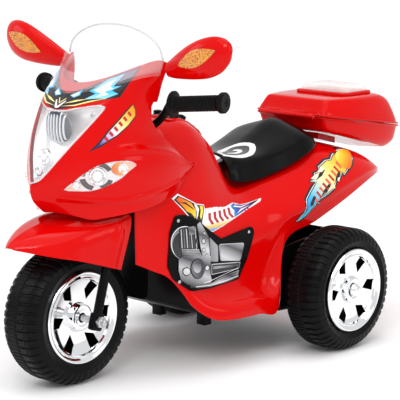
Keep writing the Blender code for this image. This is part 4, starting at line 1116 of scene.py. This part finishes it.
# ---- dash ----
def dash():
    """Panel on top of the tank, drilled for its buttons."""
    top = np.concatenate([flip(BODY[:7][::-1], -1), BODY[:7]], axis=0)
    tree = tree_of(top)
    edge = rounded([(-.029, .174), (.029, .174), (.031, .238), (.02, .248), (-.02, .248), (-.031, .238)],
        .007, 5)
    made = sticker("dash_plate", edge, 2, 1, tree, .0004, red(), "frame", .0022, .006,
        replaces=["dash_panel"])
    bake(rounding(drilled(made), .0009, 2))
    inner = rounded([(-.024, .18), (.024, .18), (.026, .233), (.017, .242), (-.017, .242), (-.026, .233)],
        .006, 5)
    drilled(sticker("dash_inlay", inner, 2, 1, tree, .0026, black(), "frame", .0006, .006))


# ---- chassis ----
def chassis():
    """Open black tray under the body, with the holes of the rear axle and its gearbox."""
    loops = []
    for y, floor, w, rim in curve_through(CHASSIS, 6):
        side = [(w, rim), (w, floor + .012), (w - .0022, floor + .0045), (w - .0075, floor + .0008),
            (w - .014, floor)]
        loops.append([(-a, y, b) for a, b in side] + [(a, y, b) for a, b in reversed(side)])
    count = len(loops[0])
    verts = [p for loop in loops for p in loop]
    last = len(loops) - 1
    faces = [(i * count + j, i * count + j + 1, (i + 1) * count + j + 1, (i + 1) * count + j)
        for i in range(last) for j in range(count - 1)]
    faces += [tuple(range(count)), tuple(last * count + j for j in range(count))]
    made = add("chassis_shell", verts, faces, black(), None, ["chassis_tray"], 30, (0, .28, .14))
    bake(thicken(made, .003))
    cut(made, *rod((.09, REAR_AXLE.y, REAR_R), (.13, REAR_AXLE.y, REAR_R), .0062, 32))
    cut(made, *rod((-.13, REAR_AXLE.y, REAR_R), (-.09, REAR_AXLE.y, REAR_R), .0145, 32))
    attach(made, "frame")
    for side, word in SIDES:
        foot = add("chassis_foot_" + word, *block((side * .045 - .009, .222, .0455),
            (side * .045 + .009, .236, .064)), black(), "frame")
        bake(rounding(foot, .002, 3))


# ---- engine panel: a black moulding with a printed engine in silver relief ----
def engine(side, word):
    """The panel and, layer on layer, the parts of the engine printed on it."""
    tree = BODY_TREES[side]
    edge = rounded(ENGINE_OUTLINE, .004, 3)
    sticker("engine_base_" + word, edge, 0, side, tree, .0004, black(), "frame", .002, .006,
        replaces=["engine_panel_" + word], rim=.0006)
    silver = gradient("engine_silver", (0, .14, .125), (0, .18, .215), [(0, (.03, .03, .035)),
        (.22, (.5, .5, .52)), (.36, (.06, .06, .07)), (.58, (.62, .62, .64)), (.75, (.1, .1, .11)),
        (1, (.75, .75, .78))], .22, .2)
    grey = gradient("engine_grey", (0, .12, .15), (0, .25, .17), [(0, (.3, .3, .32)),
        (.3, (.05, .05, .06)), (.55, (.36, .36, .38)), (.8, (.08, .08, .09)), (1, (.45, .45, .47))], .22, .2)
    pale = material("engine_pale", (.62, .62, .65), .2, .4, coat=.4, shift=.2)
    dark = material("engine_dark", (.018, .018, .02), .3, coat=.4, shift=.3)

    def lay(name, outline, look, lift, thick=0.0):
        sticker("engine_%s_%s" % (name, word), outline, 0, side, tree, .0024 + lift, look, "frame", thick,
            .005)

    def circle(name, y, z, r, look, lift, rx=None, turn=0.0, thick=0.0):
        lay(name, oval(y, z, rx or r, r, turn, 36), look, lift, thick)

    circle("drum_edge", .1345, .188, .0228, white_print(), .0002, .0212)
    circle("drum", .1345, .188, .0218, grey, .0004, .0202)
    circle("drum_dark", .1305, .185, .018, dark, .0006, .015)
    lay("head", rounded([(.1272, .2085), (.156, .209), (.1541, .1781), (.1262, .1815)], .003), dark,
        .0008, .0006)
    for k in range(7):
        y = .1292 + k * .0038
        lay("head_fin_%d" % k, [(y, .207), (y + .0012, .207), (y + .0008, .1812 - k * .0004),
            (y - .0004, .1814 - k * .0004)], grey if k % 2 else pale, .0018)
    lay("head_cap", rounded([(.14, .209), (.1505, .2092), (.15, .1975), (.1405, .1978)], .002), silver,
        .0022, .0006)
    lay("neck", [(.129, .18), (.156, .1765), (.161, .166), (.13, .17)], silver, .0008, .0006)
    for k in range(5):
        z = .1785 - k * .0022
        lay("neck_line_%d" % k, [(.13, z), (.158, z - .0035), (.1582, z - .0044), (.1302, z - .0009)],
            dark, .0018)
    lay("column", [(.158, .21), (.164, .2125), (.17, .203), (.1765, .19), (.1765, .162), (.164, .16),
        (.16, .178)], silver, .0006, .0008)
    for k, (y, z, r) in enumerate(((.1655, .186, .004), (.165, .174, .0034), (.169, .1965, .0026),
            (.17, .166, .0026))):
        circle("bolt_rim_%d" % k, y, z, r, dark, .0016)
        circle("bolt_%d" % k, y, z, r * .7, pale, .0018)
    lay("crankcase", [(.124, .166), (.13, .1705), (.15, .169), (.17, .165), (.1778, .1637),
        (.1765, .14), (.1785, .13), (.1755, .1241), (.15, .1262), (.133, .129), (.1245, .137),
        (.1225, .15)], silver, .001, .0008)
    circle("cover_rim", .1527, .1495, .015, dark, .002, .0128, .2)
    circle("cover", .1527, .1495, .0134, grey, .0022, .0112, .2, .0008)
    circle("cover_shine", .1512, .152, .0085, silver, .0032, .007, .2)
    circle("filter_rim", .134, .1477, .0064, dark, .002)
    circle("filter", .134, .1477, .005, pale, .0022, thick=.0006)
    circle("plug_rim", .17, .148, .0044, dark, .002)
    circle("plug", .17, .148, .0032, pale, .0022)
    lay("plate_a", rounded([(.1784, .1894), (.1941, .1752), (.1928, .1534), (.1783, .1558)], .002),
        grey, .0006, .0006)
    lay("plate_b_rim", rounded([(.1965, .1775), (.2495, .1716), (.24, .147), (.198, .1536)], .004),
        pale, .0006)
    lay("plate_b", rounded([(.1976, .1763), (.2482, .1706), (.2391, .1482), (.1992, .1546)], .003),
        silver, .0008, .0006)
    lay("plate_c_rim", rounded([(.18, .152), (.2405, .1455), (.2368, .1362), (.18, .1362)], .002), pale,
        .0006)
    lay("plate_c", rounded([(.1808, .1508), (.2392, .1445), (.2358, .1372), (.1808, .1372)], .002),
        dark, .0008)
    lay("plate_c_shine", [(.183, .148), (.236, .1425), (.235, .1405), (.183, .144)], grey, .001)
    lay("pipe_low", [(.1351, .125), (.15, .1215), (.175, .1205), (.205, .1215), (.232, .1235),
        (.236, .1345), (.205, .131), (.1755, .1248), (.15, .1268), (.137, .129)], silver, .0008, .0008)
    for k in range(3):
        low = .003 * k
        lay("pipe_line_%d" % k, [(.145 + low * 3, .1232 + low * .6), (.1755, .1218 + low),
            (.205, .1232 + low * 1.6), (.2335, .1256 + low * 2), (.2337, .1264 + low * 2),
            (.205, .1241 + low * 1.6), (.1755, .1226 + low), (.1452 + low * 3, .124 + low * .6)],
            white_print() if k != 1 else dark, .0019)
    for k, (y, z) in enumerate(((.2611, .1854), (.128, .219), (.123, .1345), (.233, .1265))):
        place, normal = land(tree, 0, side, (y, z))
        head = [(.0018, .0004), (.0018, .0025), (.0028, .0023), (.0032, .0015), (.0026, .001),
            (.0026, .0004)]
        add("engine_screw_%d_%s" % (k, word), *turned(head, place, normal, 24), steel(), "frame")


# ---- printed markings, without any lettering, and a painted shadow strip under the trunk ----
def layers_on(tree, axis, way, word, cell):
    """Gives the function that lays prints, called NAME_word, some layers above one surface."""
    def lay(name, outline, look, layer, steps=0):
        sticker("%s_%s" % (name, word), outline, axis, way, tree, layer * LAYER, look, cell=cell, steps=steps)
    return lay


def marks(side, word):
    """Swoosh under the saddle, flame on the tail, and a black strip of painted shadow under the trunk."""
    lay = layers_on(BODY_TREES[side], 0, side, word, .004)
    lay("swoosh_white", SWOOSH, white_print(), 1)
    lay("swoosh_shade", [(.1262, .2478), (.134, .253), (.1468, .2466), (.1668, .2362), (.1812, .233),
        (.18, .227), (.17, .2085), (.1634, .2078), (.1535, .2145), (.1512, .2195), (.1385, .2345)],
        black_print(), 2)
    fire = gradient("swoosh_fire", (0, .128, .252), (0, .16, .215), [(0, (.75, .04, .01)),
        (.35, (1, .22, .01)), (.7, (1, .5, .02)), (1, (1, .8, .08))])
    lay("swoosh_left", [(.13, .2478), (.135, .251), (.144, .246), (.156, .2395), (.1625, .229), (.16, .22),
        (.1545, .217), (.149, .224), (.14, .236)], fire, 3)
    lay("swoosh_cut_a", [(.133, .244), (.144, .24), (.1545, .233), (.16, .229), (.156, .234),
        (.145, .2425)], black_print(), 4)
    lay("swoosh_cut_b", [(.144, .23), (.152, .2265), (.158, .22), (.153, .219), (.148, .2245)],
        black_print(), 4)
    lay("swoosh_stroke_a", [(.161, .2385), (.1668, .2352), (.17, .23), (.165, .221), (.16, .215),
        (.164, .227)], white_print(), 3)
    lay("swoosh_stroke_b", [(.172, .234), (.179, .2322), (.177, .225), (.17, .215), (.169, .22),
        (.173, .228)], fire, 3)
    grey = gradient("swoosh_grey", (0, .21, .198), (0, .21, .23), [(0, (.05, .35, .75)),
        (.16, (.9, .55, .1)), (.34, (.9, .9, .92)), (.8, (.95, .92, .94)), (1, (.75, .55, .65))])
    lay("swoosh_middle", [(.172, .206), (.179, .2), (.1912, .1968), (.2141, .2012), (.24, .207),
        (.248, .216), (.246, .2235), (.2301, .2228), (.2068, .226), (.184, .2275), (.18, .218)], grey, 3)
    for k in range(5):
        y = .187 + k * .0118
        lay("swoosh_chevron_%d" % k, [(y, .2215), (y + .006, .2212), (y + .0034, .2135),
            (y + .0078, .206 + k * .0006), (y + .0022, .2055 + k * .0006), (y - .0022, .2132)],
            brick_print(), 4)
    sea = gradient("swoosh_sea", (0, .238, .215), (0, .3, .215), [(0, (.05, .4, .8)),
        (.25, (.04, .1, .45)), (.5, (.12, .04, .22)), (1, (.01, .01, .015))])
    lay("swoosh_right", [(.2425, .2228), (.253, .225), (.2683, .2206), (.2834, .2209), (.306, .2244),
        (.275, .2152), (.243, .208), (.248, .216)], sea, 3)
    for k, pts in enumerate(([(.25, .2205), (.264, .2178), (.286, .2205), (.266, .219), (.252, .222)],
            [(.25, .2112), (.264, .2148), (.284, .2186), (.262, .216)], [(.256, .224), (.264, .2222),
            (.26, .2222), (.255, .2232)])):
        lay("swoosh_streak_%d" % k, pts, white_print(), 4)
    # painted shadow: a black strip along the tail's top edge, where the trunk shades the gap above the body
    lay("tail_strip", [(.46, .295), (.48, .2905), (.5, .2842), (.513, .2785), (.5115, .2758),
        (.498, .2815), (.479, .2876), (.46, .2918)], black_print(), 1)
    lay("flame_black", around_each(FLAME, -.0016), black_print(), 1)
    lay("flame_white", around_each(FLAME, .001), white_print(), 2)
    hot = gradient("flame_hot", (0, .358, .19), (0, .51, .272), [(0, (.04, .02, .2)), (.12, (.1, .2, .65)),
        (.26, (.04, .5, .8)), (.38, (.45, .65, .6)), (.5, (.85, .75, .4)), (.7, (1, .62, .08)),
        (.86, (1, .36, .02)), (1, (.95, .2, .01))])
    lay("flame_line", around_each(FLAME, .0019), black_print(), 3)
    lay("flame_fill", around_each(FLAME, .003), hot, 4)
    for k in range(9):
        y, z = .395 + k * .0092, .212 + k * .005
        lay("flame_bar_%d" % k, [(y - .0006, z + .0075), (y + .0036, z + .0092), (y + .0074, z + .001),
            (y + .0036, z - .0016)], brick_print() if k % 2 else material("salmon_print", (.7, .12, .08),
            .3, shift=.1), 5)
    for k, pts in enumerate(([(.38, .199), (.39, .208), (.4, .219), (.396, .22), (.386, .212)],
            [(.41, .218), (.424, .223), (.438, .232), (.433, .233), (.42, .226)], [(.448, .235),
            (.46, .24), (.469, .248), (.464, .248), (.454, .242)], [(.415, .24), (.43, .245), (.442, .253),
            (.43, .25)])):
        lay("flame_lick_%d" % k, pts, black_print(), 5)
    for k, pts in enumerate(([(.424, .25), (.434, .25), (.444, .2555), (.436, .256)], [(.408, .2425),
            (.418, .2418), (.427, .247), (.419, .2475)], [(.456, .2395), (.461, .2405), (.456, .235),
            (.453, .236)], [(.44, .229), (.444, .233), (.443, .227), (.438, .2262)])):
        lay("flame_cream_%d" % k, pts, material("cream_print", (.9, .82, .6), .3, shift=.05), 5)
    sun = gradient("flame_head", (0, .497, .25), (0, .484, .276), [(0, (.8, .06, .01)),
        (.35, (1, .28, .01)), (.7, (1, .58, .03)), (1, (1, .85, .25))])
    lay("flame_head", [(.473, .262), (.48, .252), (.49, .249), (.502, .255), (.513, .264), (.519, .27),
        (.512, .2722), (.495, .2735), (.48, .27)], sun, 6, 3)
    lay("flame_tail", [(.356, .1895), (.37, .1925), (.384, .2), (.39, .209), (.383, .207), (.373, .199)],
        material("cyan_print", (.03, .55, .8), .3, shift=.1), 5)


def around_each(outline, amount):
    """Each corner of the outline moved in along the bisector of its two edges."""
    out = []
    count = len(outline)
    area = sum(a[0] * b[1] - b[0] * a[1] for a, b in zip(outline, outline[1:] + outline[:1]))
    way = 1 if area > 0 else -1
    for i in range(count):
        a, b, c = (Vector(outline[(i + k) % count]) for k in (-1, 0, 1))
        first, second = (b - a).normalized(), (c - b).normalized()
        normal = Vector((-(first.y + second.y), first.x + second.x)) * way
        if normal.length < .2:
            normal = (a + c - 2 * b)
        out.append(tuple(b + normal.normalized() * amount))
    return out


def fairing_marks(side, word):
    """Leaf beside the headlight, with slanted bars."""
    lay = layers_on(FAIRING_TREES[side], 0, side, word, .003)
    leaf = gradient("leaf_print", (0, -.009, .328), (0, .055, .386), [(0, (.01, .01, .03)),
        (.16, (.04, .04, .22)), (.3, (.4, .34, .68)), (.46, (.9, .72, .8)), (.66, (1, .72, .22)),
        (.86, (1, .42, .03)), (1, (.9, .25, .01))])
    lay("leaf_edge", around_each(LEAF, -.001), black_print(), 1)
    lay("leaf_fill", around_each(LEAF, .0009), leaf, 2)
    for k in range(6):
        y, z = .009 + k * .007, .3445 + k * .0062
        lay("leaf_bar_%d" % k, [(y - .0006, z + .0006), (y + .0024, z + .0034), (y + .0062, z - .0022),
            (y + .0034, z - .0046)], brick_print(), 3)


def nose_band():
    """Band of lightning and streaks between the headlight and the windscreen."""
    def lay(name, outline, look, layer):
        for side, word in SIDES:
            layers_on(FAIRING_TREE, 1, -1, word, .0035)(name, [(x * side, z) for x, z in outline], look,
                layer)

    half = [(0, .4), (.0167, .404), (.0373, .415), (.056, .4265), (.0731, .4354), (.0725, .4234),
        (.0694, .3975), (.0641, .3958), (.0441, .3908), (.0267, .3851), (.012, .3818), (0, .3803)]
    lay("band_base", half, black_print(), 1)
    violet = material("band_violet", (.16, .13, .24), .3, coat=.4, shift=.2)
    lay("band_violet", [(.04, .4165), (.056, .4255), (.072, .4335), (.0712, .424), (.064, .417),
        (.05, .412)], violet, 2)
    bolt = gradient("band_bolt", (0, 0, .388), (0, 0, .425), [(0, (.55, .9, .98)), (.45, (.05, .5, .9)),
        (1, (.3, .75, .95))])
    lay("band_bolt", [(.0345, .4041), (.0486, .4193), (.0624, .4265), (.0607, .4176), (.0596, .4107),
        (.0665, .4117), (.0604, .4058), (.0672, .4016), (.0587, .3959), (.036, .3944), (.0452, .4016)],
        bolt, 3)
    lay("band_bolt_core", [(.04, .405), (.05, .415), (.058, .4205), (.056, .411), (.061, .408),
        (.054, .404), (.06, .4005), (.048, .3975), (.051, .402)], white_print(), 4)
    lay("band_small", [(.0088, .3975), (.016, .4015), (.0235, .4054), (.0247, .3986), (.0175, .3953)],
        bolt, 3)
    lay("band_small_core", [(.0115, .3975), (.0215, .4028), (.0222, .3992), (.017, .3968)], white_print(), 4)
    fire = gradient("band_fire", (-.07, 0, .39), (.07, 0, .39), [(0, (1, .6, .05)), (.5, (1, .9, .45)),
        (1, (1, .6, .05))])
    lay("band_streak_a", [(.004, .3838), (.0267, .3872), (.0441, .393), (.06, .3962), (.048, .3922),
        (.028, .3858)], fire, 3)
    lay("band_streak_b", [(.008, .3875), (.025, .3905), (.04, .395), (.025, .393)], fire, 3)
    lay("band_white", [(0, .3812), (.004, .3822), (.01, .3905), (.0085, .3912), (0, .3836)], white_print(),
        4)
    lay("band_gold", [(0, .3868), (.007, .3932), (.0062, .394), (0, .3884)], fire, 4)


# ---- trunk: a tub on a bracket with a hinged lid and a clear-topped cover ----
PLAN = [tuple(p) for p in curve_through(TRUNK_PLAN, 6)]
PLAN = [(.02, PLAN[0][1])] + PLAN + [(.022, PLAN[-1][1])]


def trunk_loop(scale_x, front, rear, lift_front, lift_rear):
    """The trunk's plan, narrowed, moved at both ends, and lifted from the sloping seam."""
    y0, y1 = PLAN[0][1], PLAN[-1][1]
    half = []
    for x, y in PLAN:
        t = (y - y0) / (y1 - y0)
        z = TRUNK_FRONT_Z + (TRUNK_REAR_Z - TRUNK_FRONT_Z) * t + lift_front + (lift_rear - lift_front) * t
        half.append((x * scale_x, y + front * (1 - t) + rear * t, z))
    return half + [(-x, y, z) for x, y, z in reversed(half)]


def trunk_flange(way):
    """The rounded flange on each side of the trunk's seam: way is -1 for the tub and 1 for the lid."""
    return [trunk_loop(scale, front, rear, way * lift, way * lift) for scale, front, rear, lift in (
        (1.022, -.002, .002, .0006), (1.03, -.003, .003, .0012), (1.03, -.003, .003, .0026),
        (1.022, -.002, .002, .0034), (1.0, .001, -.001, .0038))]


def cup(name, loops, look, wall, centre, body, nodes):
    """A hollow moulding through the loops, open at the first one."""
    verts, faces = loops_solid(loops)
    made = add(name, verts, faces[:-2] + [faces[-1]], look, None, (), 35, centre)
    bake(thicken(made, wall))
    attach(made, body)
    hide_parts(*nodes)
    return made


def trunk():
    """Tub with its lid, their hinge knuckles, and the raised plate with its cover on top."""
    low = trunk_flange(-1)
    for row in curve_through([(.995, .0015, -.0015, -.006, -.006), (.97, .006, -.007, -.018, -.023),
            (.93, .011, -.018, -.0235, -.031), (.88, .016, -.028, -.026, -.035)], 4):
        low.append(trunk_loop(*row))
    low += [trunk_loop(s, .016 + (1 - s) * .02, -.028 - (1 - s) * .02, -.0262, -.0354) for s in (.6, .3)]
    cup("trunk_base", low, red(), .0022, (0, .57, .33), "frame", ["trunk_tub"])
    high = trunk_flange(1)
    for row in curve_through([(.995, .0015, -.002, .006, .008), (.965, .006, -.01, .012, .024),
            (.925, .01, -.022, .0185, .042), (.885, .0135, -.036, .0228, .051),
            (.83, .017, -.048, .024, .0545)], 5):
        high.append(trunk_loop(*row))
    high += [trunk_loop(s, .017 + (.83 - s) * .05, -.048 - (.83 - s) * .06, .0242, .055) for s in (.6, .3)]
    cup("trunk_top", high, red(), .0022, (0, .57, .29), "lid", ["trunk_lid"])
    plinth = rounded([(.051, .5447), (.051, .617), (-.051, .617), (-.051, .5447)], .012, 6)
    made = add("trunk_plateau", *prism(plinth, 2, .3485, .3545), red(), "lid")
    bake(rounding(made, .0025, 3))
    for word, x, width, way in (("lid_a", -.036, .016, 1), ("lid_b", .02, .016, 1),
            ("tub_a", -.0535, .0171, -1), ("tub_b", -.0196, .0392, -1), ("tub_c", .0364, .0171, -1)):
        body = "lid" if way > 0 else "frame"
        add("knuckle_" + word, *rod((x, .465, .327), (x + width, .465, .327), .0036, 24), red(), body)
        low_z, high_z = sorted((.327 + way * .001, .327 + way * .0036))
        add("web_" + word, *block((x, .466, low_z), (x + width, .4725, high_z)), red(), body)
    oval_edge = rounded([(.047, .5505), (.047, .6115), (-.047, .6115), (-.047, .5505)], .014, 8)
    dome = []
    for s, z in ((1.0, .3549), (.992, .3575), (.97, .36), (.9, .3628), (.78, .3646), (.6, .3656),
            (.3, .366)):
        dome.append([(x * s, .581 + (y - .581) * s, z) for x, y in oval_edge])
    glass = material("cover_glass", (.92, .9, .88), .06, shift=.02, alpha=.42)
    add("cover_dome", *loops_solid(dome), glass, "lid", ["trunk_lid_cover"], 50)


def dress():
    """Looks of the CAD pieces that are shown as they are."""
    nylon = material("nylon", (.8, .79, .72), .45, shift=.05)
    case = material("battery_case", (.06, .06, .075), .45, grain=.1, shift=.1)
    for look, names in (
            (black(), ("charge_socket", "direction_switch", "gearbox_case", "horn_button", "music_button",
                "pedal_base", "speaker", "steering_head")),
            (steel(), ("drive_motor", "motor_pinion", "rear_axle", "reduction_pin", "trunk_hinge_pin")),
            (nylon, ("drive_gear", "reduction_gear")), (rubbery(), ("foot_pedal",)),
            (red(), ("trunk_bracket",)), (case, ("battery",))):
        for name in names:
            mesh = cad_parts[name].data
            mesh.materials.clear()
            mesh.materials.append(look)


# ---- surroundings ----
def studio():
    """Pale floor, white surroundings and soft lamps."""
    floor_look = bpy.data.materials.new("studio_floor")
    floor_look.use_nodes = True
    tree = floor_look.node_tree
    base = tree.nodes["Principled BSDF"]
    noise = node(tree, "TexNoise", Scale=3.0).outputs["Fac"]
    pale = ramp_of(tree, noise, [(0, (.955, .955, .96)), (1, (.975, .975, .98))])
    tree.links.new(pale, base.inputs["Base Color"])
    shade(base, Roughness=.9, Specular_IOR_Level=.1)
    mesh = bpy.data.meshes.new("floor")
    mesh.from_pydata([(-30, -30, 0), (30, -30, 0), (30, 30, 0), (-30, 30, 0)], [], [(0, 1, 2, 3)])
    floor = bpy.data.objects.new("floor", mesh)
    mesh.materials.append(floor_look)
    bpy.context.scene.collection.objects.link(floor)
    world = bpy.data.worlds.new("studio")
    world.use_nodes = True
    world.node_tree.nodes["Background"].inputs["Color"].default_value = (1, 1, 1, 1)
    world.node_tree.nodes["Background"].inputs["Strength"].default_value = .8
    bpy.context.scene.world = world
    target = Vector((0, 0, .2))
    for name, place, power, size in (("key", (1.6, -2.2, 2.4), 18, .9), ("fill", (2.6, .6, 1.4), 8, 1.0),
            ("top", (0, .1, 2.6), 8, 1.2), ("left", (-2.2, -1.6, 1.5), 6, 1.0)):
        data = bpy.data.lights.new(name, "AREA")
        data.energy = power
        data.size = size
        lamp = bpy.data.objects.new(name, data)
        lamp.location = place
        lamp.rotation_euler = (target - Vector(place)).to_track_quat("-Z", "Y").to_euler()
        bpy.context.scene.collection.objects.link(lamp)
    data = bpy.data.lights.new("sky", "SUN")
    data.energy = 1.0
    data.angle = math.radians(70)
    lamp = bpy.data.objects.new("sky", data)
    lamp.rotation_euler = (math.radians(18), math.radians(14), 0)
    bpy.context.scene.collection.objects.link(lamp)


def camera():
    data = bpy.data.cameras.new("camera")
    data.lens = 162.6
    data.sensor_width = 36.0
    made = bpy.data.objects.new("camera", data)
    made.location = Vector((1.772, -1.651 + FRONT_Y, .698))
    target = Vector((.018, .25 + FRONT_Y, .223))
    made.rotation_euler = (target - made.location).to_track_quat("-Z", "Y").to_euler()
    bpy.context.scene.collection.objects.link(made)
    bpy.context.scene.camera = made
    bpy.context.scene.view_settings.view_transform = "Standard"


for SIDE, WORD in SIDES:
    body_shell(SIDE, WORD)
    engine(SIDE, WORD)
    marks(SIDE, WORD)
    side_lamp(SIDE, WORD)
    fairing_marks(SIDE, WORD)
    mirror(SIDE, WORD)
    grip(SIDE, WORD)
bonnet_shell()
headlight()
windscreen()
nose_band()
fender()
fork()
handlebar()
wheels()
chassis()
saddle()
dash()
trunk()
dress()
studio()
camera()
